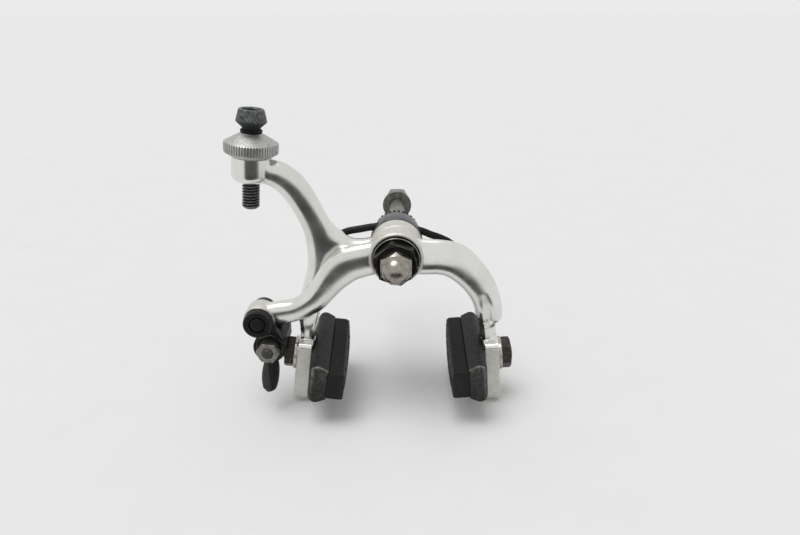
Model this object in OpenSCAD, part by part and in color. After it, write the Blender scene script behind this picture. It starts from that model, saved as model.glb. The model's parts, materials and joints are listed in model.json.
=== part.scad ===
// Single-pivot side-pull caliper brake for a road bicycle, in millimetres.
// The pivot axis runs along Y: -Y is the front, +Y is towards the frame, +Z is up.
// The origin is on the pivot axis, on the rear face of the serrated seat washer.

/* [Pivot] */
// Diameter of the pivot bolt
bolt_d = 6; // [5:0.5:7]
// Room on the bolt between the seat washer and the rear washer
grip_len = 32.7; // [20:0.1:45]
// Diameter of both arm bosses
boss_d = 18.1; // [16:0.1:22]
// Axial length of each arm boss
boss_t = 7.2; // [6:0.1:9]
// Width across flats of the domed front nut
acorn_af = 10; // [9:0.5:12]
// Width across flats of the locknut
lock_af = 13; // [11:0.5:15]
// Thickness of the locknut
lock_t = 4.5; // [2.5:0.1:6]
// Outer diameter of the serrated seat washer
seat_d = 16.4; // [13:0.1:20]
// Thickness of the serrated seat washer
seat_t = 3; // [1.5:0.1:5]
// Number of teeth around the seat washer
seat_teeth = 30; // [16:1:40]
// Diameter of the spring block's front part
block_d = 18.6; // [16:0.1:22]
// Axial length of the spring block
block_t = 9.9; // [7:0.1:14]
// Width across flats of the rear nut
mount_af = 10; // [9:0.5:12]
// Outer diameter of the rear washer
mount_washer_d = 12; // [11:0.5:16]

/* [Arms] */
// Distance from the pivot axis down to the necks above the slotted plates
neck_drop = 28.5; // [25:0.5:40]
// Sideways distance from the pivot axis to the right neck
right_reach = 32.3; // [28:0.1:40]
// Sideways distance from the pivot axis to the left neck
left_reach = 31.3; // [28:0.1:40]
// Width of the front arm beside its boss
front_limb_w = 12.2; // [9:0.1:15]
// Width of the rear arm's upper limb
rear_limb_w = 9.5; // [7:0.1:12]
// Depth of the limbs along the pivot axis
limb_t = 7; // [5:0.1:8]
// Width of the necks
neck_w = 6.4; // [5:0.1:9]
// Sideways distance from the pivot axis to the cable anchor eye
anchor_x = 47.6; // [40:0.1:60]
// Drop from the pivot axis to the cable anchor eye
anchor_drop = 23.2; // [15:0.1:35]
// Outer diameter of the cable anchor eye
anchor_eye_d = 10.8; // [9:0.1:14]
// Sideways distance from the pivot axis to the adjuster eye
adjuster_x = 48; // [40:0.1:60]
// Rise from the pivot axis to the middle of the adjuster eye
adjuster_rise = 27.9; // [20:0.1:40]
// Lean of the adjuster towards the middle, in degrees
adjuster_lean = 5.6; // [0:0.1:12]
// Diameter of the adjuster eye
adjuster_eye_d = 12.9; // [10:0.1:15]
// Height of the adjuster eye
adjuster_eye_h = 8.9; // [6:0.1:12]

/* [Slotted plates] */
// Width of a plate along the pivot axis
plate_w = 13; // [10:0.1:16]
// Thickness of a plate
plate_t = 5.2; // [3.5:0.1:7]
// Length of a plate
plate_len = 23.2; // [20:0.1:32]
// Width of the slot for the shoe stud
slot_w = 6.3; // [5.2:0.1:7]
// Travel of the stud along the slot
slot_travel = 11.5; // [5:0.1:12]
// Outward step from the right neck's middle to its plate's middle
right_plate_out = 1.6; // [0:0.1:3]
// Outward step from the left neck's middle to its plate's middle
left_plate_out = 1.2; // [0:0.1:3]
// Outward splay of the right plate, in degrees
right_splay = 4.5; // [0:0.5:10]
// Outward splay of the left plate, in degrees
left_splay = 8; // [0:0.5:10]

/* [Shoes] */
// Distance of the shoe stud below the top of its plate
shoe_drop = 7; // [6:0.1:11]
// Length of a shoe
shoe_len = 41; // [30:0.5:55]
// Thickness of the holder
holder_t = 6.6; // [5:0.1:9]
// Height of the holder at its back
holder_h = 14.7; // [12:0.1:18]
// Thickness of the friction block outside the holder
block_out = 5.5; // [3:0.1:9]
// Height of the friction block
block_h = 10.3; // [8:0.1:12]
// Diameter of the shoe stud
stud_d = 6; // [5:0.1:6]
// Width across flats of the shoe nut
shoe_nut_af = 10; // [9:0.5:12]
// Twist of the right plate and its shoe about the leg's line, in degrees
right_toe = -1.2; // [-3:0.1:3]
// Twist of the left plate and its shoe about the leg's line, in degrees
left_toe = 2.1; // [-3:0.1:3]

/* [Adjuster] */
// Diameter of the adjuster screw
screw_d = 5.9; // [4:0.1:6]
// Diameter of the cable bore through the screw
cable_d = 2; // [1.5:0.1:2.5]
// Diameter of the housing pocket in the screw's head
housing_d = 5.4; // [4.5:0.1:6]
// Length of screw that hangs out under the eye
screw_out = 9; // [4:0.1:14]
// Diameter of the knurled nut
knurl_d = 17.7; // [14:0.1:22]
// Height of the knurled band
knurl_h = 4.4; // [3:0.1:7]
// Height of the cone above the knurled band
knurl_cone_h = 3; // [2:0.1:6]
// Number of flutes around the knurled band
knurl_count = 60; // [40:1:72]

/* [Quick release] */
// Sideways step from the eye to the cable anchor bolt
clamp_dx = 3.6; // [2.5:0.1:5]
// Drop from the eye to the cable anchor bolt
clamp_dz = 8.8; // [8:0.1:12]
// Diameter of the round end of the lever over the eye
lever_disc_d = 9.8; // [8:0.1:12]
// Diameter of the round lobe that carries the anchor bolt
lever_lobe_d = 11.3; // [9:0.1:13]
// Thickness of the lever's front cheek
cheek_t = 2.5; // [1.5:0.1:4]
// Length of the thumb tab
tab_len = 12.5; // [8:0.5:20]
// Width of the thumb tab
tab_w = 7.2; // [5:0.1:10]
// Diameter of the release spindle
spindle_d = 5; // [4:0.1:6]
// Width across flats of the anchor nut
anchor_af = 7; // [6:0.5:9]

/* [Spring] */
// Diameter of the spring wire
wire_d = 2.6; // [1.8:0.1:2.8]

/* [Hidden] */
$fn = 64;
// Radial clearance of turning fits, and of pieces that only pass over a shaft
run = 0.05;
loose = 0.2;
eps = 0.01;

// Axial stack in front of the origin, each value the front face of its piece
washer_t = 0.8;
thin_t = 0.3;
seat_front = -seat_t;
block_front = seat_front - block_t;
rear_thrust_front = block_front - thin_t;
rear_arm_front = rear_thrust_front - boss_t;
arm_washer_front = rear_arm_front - thin_t;
front_arm_front = arm_washer_front - boss_t;
cover_front = front_arm_front - washer_t * 0.7;
washer_front = cover_front - washer_t;
lock_front = washer_front - lock_t;
acorn_hex_t = acorn_af * 0.36;
acorn_dome_r = acorn_af * 0.47;
rear_mid = (rear_thrust_front + rear_arm_front) / 2;
front_mid = (arm_washer_front + front_arm_front) / 2;
plate_mid = (rear_mid + front_mid) / 2;

// Fasteners
mount_washer_t = 1.2;
mount_nut_t = mount_af * 0.65;
shoe_washer_t = 1.2;
shoe_washer_d = shoe_nut_af * 1.2;
shoe_nut_t = shoe_nut_af * 0.33;
anchor_washer_t = 0.9;
anchor_nut_t = anchor_af * 0.45;
anchor_bolt_d = anchor_af * 0.57;
hex_corner = 1 / cos(30);

// Cross-section of the limbs and how finely they are lofted
section_power = 2.3;
section_points = 24;
steps = 4;

// Smooth curve through rows of numbers, any count of columns
function spline(a, b, c, d, t) =
    0.5 * (2 * b + (c - a) * t + (2 * a - 5 * b + 4 * c - d) * t * t + (3 * b - a - 3 * c + d) * t * t * t);
function row(rows, i) = rows[max(0, min(len(rows) - 1, i))];
function smooth(rows, n) = [
    for (i = [0:len(rows) - 2], k = [0:n - 1])
        spline(row(rows, i - 1), rows[i], rows[i + 1], row(rows, i + 2), k / n),
    rows[len(rows) - 1]
];
function signed_power(v, p) = sign(v) * pow(abs(v), p);

// One cross-section of a limb: c is [x, z, half width, half depth, y], dir its heading in the XZ plane
function limb_ring(c, dir) = let (side = [-dir[1], dir[0]] / norm(dir), p = 2 / section_power) [
    for (k = [0:section_points - 1])
        let (
            a = 360 * k / section_points,
            w = c[2] * signed_power(cos(a), p),
            d = c[3] * signed_power(sin(a), p)
        )
        [c[0] + side[0] * w, c[4] + d, c[1] + side[1] * w]
];

// Solid through rings that all have the same number of points
module loft(rings) {
    n = len(rings[0]);
    last = (len(rings) - 1) * n;
    walls = [
        for (j = [0:len(rings) - 2], i = [0:n - 1])
            let (a = j * n + i, b = j * n + (i + 1) % n)
            each [[a, b, b + n], [a, b + n, a + n]]
    ];
    caps = [[for (i = [n - 1:-1:0]) i], [for (i = [0:n - 1]) last + i]];
    polyhedron([for (r = rings) each r], concat(walls, caps), convexity = 6);
}

// Limb along rows of [x, z, half width, half depth, y]
module limb(rows) {
    line = smooth(rows, steps);
    last = len(line) - 1;
    loft([
        for (i = [0:last])
            let (a = line[max(0, i - 1)], b = line[min(last, i + 1)])
            limb_ring(line[i], [b[0] - a[0], b[1] - a[1]])
    ]);
}

// Solid turned about the pivot's direction: the profile is [radius, distance to the front]
module turned(y, profile) {
    translate([0, y, 0])
        rotate([90, 0, 0])
            rotate_extrude()
                polygon(profile);
}

// Plain ring about Y, from its rear face at y towards the front
module ring(y, t, d, bore) {
    turned(y, [[bore / 2, 0], [d / 2, 0], [d / 2, t], [bore / 2, t]]);
}

// Round bar about Y with chamfered ends, from its rear face at y towards the front
module bar(y, t, d, chamfer = 0.5) {
    turned(y, [[0, 0], [d / 2 - chamfer, 0], [d / 2, chamfer], [d / 2, t - chamfer], [d / 2 - chamfer, t], [0, t]]);
}

// Hexagon nut about Y with chamfered corners at the front, or at both ends
module hex_nut(y, t, af, bore, turn = 0, both = false) {
    corner = af / 2 * hex_corner;
    flat_r = corner - (corner - af / 2) * 1.02;
    wide = corner + 0.5;
    fall = (wide - flat_r) * 0.6;
    difference() {
        intersection() {
            translate([0, y, 0])
                rotate([90, turn, 0])
                    cylinder(h = t, r = corner, $fn = 6);
            turned(y, [
                [0, 0], [both ? flat_r : wide, 0], [wide, both ? fall : t * 0.1], [wide, t - fall], [flat_r, t], [0, t]
            ]);
        }
        if (bore > 0)
            translate([0, y + eps, 0])
                rotate([90, 0, 0])
                    cylinder(h = t + 2 * eps, d = bore);
    }
}

// The pivot group

module pivot_bolt() {
    front = lock_front - acorn_hex_t;
    rear = grip_len + mount_washer_t + mount_nut_t + bolt_d * 0.1;
    color("dimgray")
        bar(rear, rear - front, bolt_d, bolt_d * 0.1);
}

// Path of the wire's middle through the block, then down behind each arm
wire_y = (seat_front + block_front) / 2 - block_t * 0.2;
wire_top = bolt_d / 2 + wire_d * 1.1;
wire_left = concat([[-block_d * 0.457, wire_top - neck_drop * 0.025]], wire_points(-left_reach, [
    [0.415, 0.053], [0.559, 0.084], [0.681, 0.154], [0.773, 0.288], [0.821, 0.456], [0.837, 0.667]
]));
wire_right = concat([[block_d * 0.457, wire_top - neck_drop * 0.074]], wire_points(right_reach, [
    [0.372, 0.123], [0.48, 0.168], [0.588, 0.232], [0.687, 0.344], [0.749, 0.491], [0.771, 0.684]
]));
function wire_points(reach, parts) = [for (p = parts) [p[0] * reach, wire_top - p[1] * neck_drop]];
wire_rows = concat([for (i = [len(wire_left) - 1:-1:0]) wire_left[i]], [[0, wire_top]], wire_right);
wire_sides = 12;

module spring_block() {
    channel = smooth([wire_left[1], wire_left[0], [0, wire_top], wire_right[0], wire_right[1]], 4);
    half = wire_d / 2 + run;
    color("gray")
        difference() {
            turned(seat_front, [
                [0, 0], [block_d * 0.46, 0], [block_d * 0.46, block_t * 0.42], [block_d / 2, block_t * 0.5],
                [block_d / 2, block_t], [0, block_t]
            ]);
            translate([0, seat_front + eps, 0])
                rotate([90, 0, 0])
                    cylinder(h = block_t + 2 * eps, d = bolt_d);
            translate([0, wire_y + half, 0])
                rotate([90, 0, 0])
                    linear_extrude(2 * half)
                        polygon(concat(
                            [for (p = channel) [p[0], p[1] - half]],
                            [for (i = [len(channel) - 1:-1:0]) [channel[i][0], channel[i][1] + half]]
                        ));
        }
}

module return_spring() {
    line = smooth(wire_rows, 4);
    last = len(line) - 1;
    color("black")
        loft([
            for (i = [0:last])
                let (
                    a = line[max(0, i - 1)], b = line[min(last, i + 1)],
                    dir = (b - a) / norm(b - a)
                )
                [
                    for (k = [0:wire_sides - 1])
                        let (t = 360 * k / wire_sides, w = wire_d / 2 * cos(t))
                        [line[i][0] - dir[1] * w, wire_y + wire_d / 2 * sin(t), line[i][1] + dir[0] * w]
                ]
        ]);
}

module seat_washer() {
    tooth = 180 / seat_teeth;
    outer = seat_d / 2;
    root = outer - 0.9;
    color("black")
        difference() {
            translate([0, 0, 0])
                rotate([90, 0, 0])
                    linear_extrude(seat_t)
                        polygon([
                            for (i = [0:seat_teeth - 1])
                                for (s = [[root, -0.9], [outer, -0.45], [outer, 0.45], [root, 0.9]])
                                    s[0] * [cos((2 * i + s[1]) * tooth), sin((2 * i + s[1]) * tooth)]
                        ]);
            translate([0, eps, 0])
                rotate([90, 0, 0])
                    cylinder(h = seat_t + 2 * eps, d = bolt_d + 2 * loose);
        }
}

module rear_thrust_washer() {
    color("black")
        ring(block_front, thin_t, boss_d - 1.2, bolt_d + 2 * loose);
}

module arm_washer() {
    color("gainsboro")
        ring(rear_arm_front, thin_t, boss_d - 0.8, bolt_d + 2 * loose);
}

module cover_washer() {
    color("black")
        ring(front_arm_front, front_arm_front - cover_front, boss_d - 1.7, bolt_d + 2 * loose);
}

module front_washer() {
    color("silver")
        ring(cover_front, washer_t, boss_d - 2.5, bolt_d + 2 * loose);
}

module lock_nut() {
    color("black")
        hex_nut(washer_front, lock_t, lock_af, bolt_d, turn = 18);
}

module acorn_nut() {
    hex_front = lock_front - acorn_hex_t;
    corner = acorn_af / 2 * hex_corner;
    wide = corner + 0.5;
    slope = 0.3 * acorn_hex_t / (corner - acorn_dome_r);
    color("silver")
        difference() {
            union() {
                intersection() {
                    translate([0, lock_front, 0])
                        rotate([90, 30, 0])
                            cylinder(h = acorn_hex_t, r = corner, $fn = 6);
                    turned(lock_front, [
                        [0, 0], [wide, 0], [wide, acorn_hex_t - (wide - acorn_dome_r) * slope],
                        [acorn_dome_r, acorn_hex_t], [0, acorn_hex_t]
                    ]);
                }
                intersection() {
                    translate([0, hex_front, 0])
                        sphere(r = acorn_dome_r);
                    turned(hex_front + 0.8, [
                        [0, 0], [acorn_dome_r * 2, 0], [acorn_dome_r * 2, acorn_dome_r * 2], [0, acorn_dome_r * 2]
                    ]);
                }
            }
            translate([0, lock_front + eps, 0])
                rotate([90, 0, 0])
                    cylinder(h = acorn_hex_t + 0.5, d = bolt_d);
        }
}

module mount_washer() {
    color("gray")
        ring(grip_len + mount_washer_t, mount_washer_t, mount_washer_d, bolt_d + 2 * run);
}

module mount_nut() {
    color("dimgray")
        hex_nut(
            grip_len + mount_washer_t + mount_nut_t, mount_nut_t, mount_af, bolt_d, turn = 0, both = true
        );
}

// The arms

// Frame of a slotted plate: the origin is at the middle of the plate's top, +X points away from the rim
module plate_frame(side, at, splay, toe) {
    mirror([side < 0 ? 1 : 0, 0, 0])
        translate([at, plate_mid, -neck_drop - plate_step])
            rotate([0, -splay, 0])
                rotate([0, 0, toe * side])
                    children();
}
right_plate_at = right_reach + right_plate_out;
left_plate_at = left_reach + left_plate_out;
plate_step = 4.5;
plate_corner = 2;

// Plate with its slot still closed, seen along X
module plate_blank() {
    rotate([90, 0, 90])
        translate([0, 0, -plate_t / 2])
            linear_extrude(plate_t)
                union() {
                    translate([-plate_w / 2, -plate_len + plate_corner])
                        square([plate_w, plate_len - 2 * plate_corner]);
                    translate([-plate_w / 2 + plate_corner, -plate_len])
                        square([plate_w - 2 * plate_corner, plate_len]);
                    for (sy = [-1, 1], z = [-plate_corner, plate_corner - plate_len])
                        translate([sy * (plate_w / 2 - plate_corner), z])
                            circle(plate_corner);
                }
}

module plate_slot() {
    deep = plate_t + 2;
    top = -shoe_drop + slot_w * 0.1;
    for (z = [top, top - slot_travel])
        translate([-deep / 2, 0, z])
            rotate([0, 90, 0])
                cylinder(h = deep, d = slot_w);
    translate([-deep / 2, -slot_w / 2, top - slot_travel])
        cube([deep, slot_w, slot_travel]);
}

// Boss around the pivot, its edges chamfered
module boss(y) {
    c = 0.6;
    turned(y, [[0, 0], [boss_d / 2 - c, 0], [boss_d / 2, c], [boss_d / 2, boss_t - c], [boss_d / 2 - c, boss_t], [0, boss_t]]);
}

module pivot_bore(y) {
    translate([0, y + 1, 0])
        rotate([90, 0, 0])
            cylinder(h = boss_t + 2, d = bolt_d + 2 * run);
}

// Last rows of a pad leg: a full section that swings to the plates' plane, then a neck that runs into the plate
function leg_foot(x, w, y, out) = let (t = limb_t / 2, step = plate_mid - y, low = neck_drop + plate_step) [
    [x + 0.5, -neck_drop * 0.82, w, t, y + step * 0.3],
    [x + 0.3, -neck_drop * 0.9, (w + neck_w / 2) / 2, t * 0.93, y + step * 0.65],
    [x + out * 0.2, -neck_drop * 0.99, neck_w / 2, t * 0.85, y + step * 0.95],
    [x + out * 0.5, -low + plate_step * 0.32, neck_w * 0.46, t * 0.83, plate_mid],
    [x + out * 0.85, -low + plate_step * 0.05, plate_t * 0.48, t * 0.8, plate_mid],
    [x + out * 1.1, -low - plate_step * 0.35, plate_t * 0.42, t * 0.78, plate_mid]
];

module front_arm() {
    x = right_reach;
    z = neck_drop;
    ax = anchor_x;
    az = anchor_drop;
    w = front_limb_w / 2;
    t = limb_t / 2;
    y = front_mid;
    pad_leg = concat([
        [x * 0.13, 0, w, t, y],
        [x * 0.3, -z * 0.017, w, t, y],
        [x * 0.46, -z * 0.02, w * 0.98, t, y],
        [x * 0.62, -z * 0.07, w, t, y],
        [x * 0.775, -z * 0.22, w * 0.92, t, y],
        [x * 0.88, -z * 0.37, w * 0.87, t, y],
        [x * 0.945, -z * 0.51, w * 0.82, t, y],
        [x * 0.99, -z * 0.67, w * 0.79, t, y]
    ], leg_foot(x, w * 0.75, y, right_plate_out));
    anchor_limb = [
        [-ax * 0.09, -az * 0.02, w, t, y],
        [-ax * 0.18, -az * 0.05, w * 0.97, t, y],
        [-ax * 0.325, -az * 0.13, w, t, y],
        [-ax * 0.4, -az * 0.235, w * 0.97, t, y],
        [-ax * 0.47, -az * 0.385, w * 0.87, t, y],
        [-ax * 0.54, -az * 0.575, w * 0.77, t, y],
        [-ax * 0.61, -az * 0.73, w * 0.71, t, y],
        [-ax * 0.73, -az * 0.87, w * 0.66, t * 0.98, y],
        [-ax * 0.87, -az * 0.94, w * 0.73, t * 0.96, y],
        [-ax * 0.97, -az * 0.99, w * 0.75, t * 0.94, y]
    ];
    color("silver")
        difference() {
            union() {
                boss(arm_washer_front);
                limb(pad_leg);
                limb(anchor_limb);
                anchor_eye();
                plate_frame(1, right_plate_at, right_splay, right_toe)
                    plate_blank();
            }
            pivot_bore(arm_washer_front);
            translate([-anchor_x, front_mid + boss_t, -anchor_drop])
                rotate([90, 0, 0])
                    cylinder(h = 2 * boss_t, d = spindle_d + 2 * run);
            plate_frame(1, right_plate_at, right_splay, right_toe)
                plate_slot();
            peg_hole(peg_right, front_mid);
        }
}

module anchor_eye() {
    c = 0.7;
    r = anchor_eye_d / 2;
    translate([-anchor_x, 0, -anchor_drop])
        turned(front_mid + eye_t / 2, [[0, 0], [r - c, 0], [r, c], [r, eye_t - c], [r - c, eye_t], [0, eye_t]]);
}
eye_t = boss_t - 0.2;

module rear_arm() {
    x = left_reach;
    z = neck_drop;
    ux = adjuster_x;
    uz = adjuster_rise;
    w = rear_limb_w / 2;
    t = limb_t / 2;
    y = rear_mid;
    foot = [for (r = leg_foot(x, w * 0.93, y, left_plate_out)) [-r[0], r[1], r[2], r[3], r[4]]];
    upper_and_leg = concat([
        [-ux * 0.97, uz * 0.94, w * 0.72, t * 1.05, y],
        [-ux * 0.885, uz * 0.955, w * 0.9, t, y],
        [-ux * 0.81, uz * 0.915, w * 0.99, t, y],
        [-ux * 0.735, uz * 0.81, w * 1.02, t, y],
        [-ux * 0.67, uz * 0.65, w * 1.02, t, y],
        [-ux * 0.61, uz * 0.45, w * 1.0, t, y],
        [-ux * 0.56, uz * 0.23, w * 1.05, t, y],
        [-x * 0.81, -z * 0.03, w * 1.22, t, y],
        [-x * 0.83, -z * 0.25, w * 1.12, t, y],
        [-x * 0.895, -z * 0.48, w * 1.03, t, y],
        [-x * 0.955, -z * 0.66, w * 0.98, t, y]
    ], foot);
    hub = [
        [-x * 0.13, -z * 0.01, w * 1.1, t, y],
        [-x * 0.31, -z * 0.03, w * 0.91, t, y],
        [-x * 0.46, -z * 0.035, w * 0.88, t, y],
        [-x * 0.58, -z * 0.012, w * 1.0, t, y],
        [-x * 0.66, z * 0.01, w * 1.35, t, y],
        [-x * 0.73, z * 0.02, w * 1.75, t, y],
        [-x * 0.79, z * 0.03, w * 2.02, t * 0.97, y]
    ];
    color("silver")
        difference() {
            union() {
                boss(rear_thrust_front);
                limb(upper_and_leg);
                limb(hub);
                adjuster_frame()
                    adjuster_eye();
                plate_frame(-1, left_plate_at, left_splay, left_toe)
                    plate_blank();
            }
            pivot_bore(rear_thrust_front);
            adjuster_frame()
                translate([0, 0, -adjuster_eye_h])
                    cylinder(h = 2 * adjuster_eye_h, d = screw_d + 2 * run);
            plate_frame(-1, left_plate_at, left_splay, left_toe)
                plate_slot();
            peg_hole(peg_left, rear_mid);
        }
}

// Origin at the middle of the adjuster eye, +Z along the adjuster
module adjuster_frame() {
    translate([-adjuster_x, rear_mid, adjuster_rise])
        rotate([0, adjuster_lean, 0])
            children();
}

module adjuster_eye() {
    r = adjuster_eye_d / 2;
    h = adjuster_eye_h / 2;
    round_r = r * 0.45;
    rotate_extrude()
        polygon(concat(
            [[0, h], [r - 0.4, h], [r, h - 0.4]],
            [for (a = [0:15:90]) [r - round_r + round_r * cos(a), -h + round_r - round_r * sin(a)]],
            [[0, -h]]
        ));
}

// Pegs that the spring's ends bear on, pressed into the backs of the arms
peg_d = 3;
peg_left = [-left_reach * 0.931, -neck_drop * 0.404];
peg_right = [right_reach * 0.864, -neck_drop * 0.421];
peg_rear = wire_y + wire_d * 0.8;

module peg_hole(p, y) {
    translate([p[0], y + limb_t, p[1]])
        rotate([90, 0, 0])
            cylinder(h = limb_t, d = peg_d);
}

module peg(p, y) {
    translate([p[0], 0, p[1]])
        bar(peg_rear, peg_rear - y, peg_d, 0.4);
}

module front_spring_peg() {
    color("silver")
        peg(peg_right, front_mid);
}

module rear_spring_peg() {
    color("silver")
        peg(peg_left, rear_mid);
}

// The shoes

collar_t = 0.3;
collar_d = 10;
stud_sink = 3;
key_deep = 2.4;
end_round = 2.2;
key_stop = 3;
mouth = -plate_t / 2 - collar_t - holder_t;

// Origin at the stud's middle in its plate, +X away from the rim
module shoe_frame(side, at, splay, toe) {
    plate_frame(side, at, splay, toe)
        translate([0, 0, -shoe_drop])
            children();
}

// Extrusion along Y of a section given as [x, z]
module along(len, section) {
    translate([0, len / 2, 0])
        rotate([90, 0, 0])
            linear_extrude(len)
                polygon(section);
}

// Dovetail that keys the friction block into its holder
function key_section(grow) = let (h = block_h * 0.28 + grow, x = mouth + key_deep + grow) [
    [mouth - eps, -h], [x, -h - 1], [x, h + 1], [mouth - eps, h]
];

module shoe_holder() {
    back = -plate_t / 2 - collar_t;
    h = holder_h / 2;
    b = block_h / 2;
    r = 2.2;
    color("black")
        difference() {
            intersection() {
                along(shoe_len, concat(
                    [[mouth, -b - 0.2]],
                    [for (a = [-110:20:-10]) [back - r + r * cos(a), r - h + r * sin(a)]],
                    [for (a = [10:20:110]) [back - r + r * cos(a), h - r + r * sin(a)]],
                    [[mouth, b + 0.2]]
                ));
                translate([0, 0, -holder_h])
                    linear_extrude(2 * holder_h)
                        polygon([
                            [mouth - 1, -shoe_len / 2], [back - end_round * 1.4, -shoe_len / 2],
                            [back - end_round * 0.4, -shoe_len / 2 + end_round * 0.35], [back, -shoe_len / 2 + end_round],
                            [back, shoe_len / 2 - end_round], [back - end_round * 0.4, shoe_len / 2 - end_round * 0.35],
                            [back - end_round * 1.4, shoe_len / 2], [mouth - 1, shoe_len / 2]
                        ]);
            }
            translate([0, key_stop, 0])
                along(shoe_len, key_section(0));
            translate([back - stud_sink, 0, 0])
                rotate([0, 90, 0])
                    cylinder(h = stud_sink + 1, d = stud_d);
        }
}

module shoe_block() {
    h = block_h / 2;
    face = mouth - block_out;
    crown = 1;
    color("dimgray")
        difference() {
            union() {
                intersection() {
                    along(shoe_len, [
                        [mouth, -h], [mouth, h], [face + 1.6, h], [face - crown, h - 1.4], [face - crown, -h + 0.6],
                        [face + 0.6, -h]
                    ]);
                    translate([0, 0, -block_h])
                        linear_extrude(2 * block_h)
                            polygon(concat(
                                [[mouth, shoe_len / 2], [mouth, -shoe_len / 2]],
                                [
                                    for (s = [-1:0.1:1.01])
                                        [face - crown * (1 - s * s), s * shoe_len / 2]
                                ]
                            ));
                }
                translate([0, key_stop / 2, 0])
                    along(shoe_len - key_stop, key_section(0));
            }
            for (s = [-0.72, -0.36, 0, 0.36, 0.72])
                translate([face - crown - 1, s * shoe_len / 2 - 0.5, -block_h])
                    cube([1 + crown * 1.4 - crown * s * s * 0.6, 1, 2 * block_h]);
        }
}

// Turned about X in the shoe's frame: the profile is [x, radius]
module turned_x(profile) {
    rotate([0, 90, 0])
        rotate_extrude()
            polygon([for (p = profile) [p[1], p[0]]]);
}

module shoe_stud() {
    r = stud_d / 2;
    back = -plate_t / 2 - collar_t;
    out = plate_t / 2 + shoe_washer_t + shoe_nut_t + 0.5;
    color("gray")
        turned_x([
            [back - stud_sink, 0], [back - stud_sink, r], [back, r], [back, collar_d / 2], [-plate_t / 2, collar_d / 2],
            [-plate_t / 2, r], [out - 0.5, r], [out, r - 0.5], [out, 0]
        ]);
}

module shoe_washer() {
    color("silver")
        translate([plate_t / 2, 0, 0])
            rotate([0, 90, 0])
                difference() {
                    cylinder(h = shoe_washer_t, d = shoe_washer_d);
                    translate([0, 0, -1])
                        cylinder(h = shoe_washer_t + 2, d = stud_d + 2 * loose);
                }
}

module shoe_nut(turn) {
    color("dimgray")
        translate([plate_t / 2 + shoe_washer_t, 0, 0])
            rotate([turn, 0, 0])
                rotate([0, 0, 90])
                    hex_nut(0, shoe_nut_t, shoe_nut_af, stud_d);
}

module right_shoe() {
    shoe_frame(1, right_plate_at, right_splay, right_toe)
        children();
}

module left_shoe() {
    shoe_frame(-1, left_plate_at, left_splay, left_toe)
        children();
}

module right_holder() { right_shoe() shoe_holder(); }
module right_block() { right_shoe() shoe_block(); }
module right_stud() { right_shoe() shoe_stud(); }
module right_shoe_washer() { right_shoe() shoe_washer(); }
module right_shoe_nut() { right_shoe() shoe_nut(12); }
module left_holder() { left_shoe() shoe_holder(); }
module left_block() { left_shoe() shoe_block(); }
module left_stud() { left_shoe() shoe_stud(); }
module left_shoe_washer() { left_shoe() shoe_washer(); }
module left_shoe_nut() { left_shoe() shoe_nut(20); }

// The adjuster

nut_seat = adjuster_eye_h / 2;
nut_top = nut_seat + knurl_h + knurl_cone_h;
ring_wire = 1.1;

module adjuster_nut() {
    r = knurl_d / 2;
    flute = 360 / knurl_count;
    deep = 0.35;
    color("darkgray")
        adjuster_frame()
            difference() {
                intersection() {
                    translate([0, 0, nut_seat])
                        linear_extrude(knurl_h + knurl_cone_h)
                            polygon([
                                for (i = [0:knurl_count - 1])
                                    for (s = [[r, 0], [r, 0.4], [r - deep, 0.7]])
                                        s[0] * [cos((i + s[1]) * flute), sin((i + s[1]) * flute)]
                            ]);
                    translate([0, 0, nut_seat])
                        rotate_extrude()
                            polygon([
                                [0, 0], [r - 1.8, 0], [r, 1.2], [r, knurl_h - 0.2], [r - 0.5, knurl_h],
                                [ring_seat_r + 0.2, knurl_h + knurl_cone_h], [0, knurl_h + knurl_cone_h]
                            ]);
                }
                cylinder(h = 3 * adjuster_eye_h, d = screw_d + 2 * run);
            }
}
ring_seat_r = screw_d / 2 + ring_wire;

module adjuster_ring() {
    color("black")
        adjuster_frame()
            translate([0, 0, nut_top])
                rotate_extrude()
                    polygon([
                        [screw_d / 2 + run, 0], [ring_seat_r - 0.3, 0], [ring_seat_r, ring_wire * 0.3],
                        [ring_seat_r, ring_wire * 0.7], [ring_seat_r - 0.3, ring_wire], [screw_d / 2 + run, ring_wire]
                    ]);
}

module adjuster_screw() {
    r = screw_d / 2;
    foot = -adjuster_eye_h / 2 - screw_out;
    neck = nut_top + ring_wire + 0.25;
    shoulder = neck + 2.4;
    rim = shoulder + 3.9;
    rim_r = housing_d / 2 + 1.35;
    color("darkslategray")
        adjuster_frame()
            difference() {
                rotate_extrude()
                    polygon([
                        [0, foot], [r - 0.8, foot], [r, foot + 0.8], [r, neck], [r + 0.1, neck + 0.4],
                        [rim_r + 0.95, shoulder - 0.2], [rim_r + 0.95, shoulder + 0.3], [rim_r + 0.1, rim - 0.5],
                        [rim_r - 0.2, rim], [0, rim]
                    ]);
                translate([0, 0, foot - 1])
                    cylinder(h = rim - foot + 2, d = cable_d);
                translate([0, 0, neck + 0.6])
                    cylinder(h = rim, d = housing_d);
                translate([0, 0, rim - 0.7])
                    rotate_extrude()
                        polygon([[0, 0], [housing_d / 2 - 0.1, 0], [housing_d / 2 + 0.8, 0.9], [0, 0.9]]);
            }
}

// The quick release

eye_front = front_mid - eye_t / 2;
eye_rear = front_mid + eye_t / 2;
release_washer_t = 0.6;
cheek_rear = eye_front - release_washer_t;
cheek_front = cheek_rear - cheek_t;
rear_cheek_t = 3.2;
side_gap = 0.25;
web_z = -anchor_eye_d / 2 - 0.6;
web_right = clamp_dx + lever_lobe_d * 0.48;
web_low = -clamp_dz - 1;

// Origin on the eye's axis
module release_frame() {
    translate([-anchor_x, 0, -anchor_drop])
        children();
}

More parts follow.
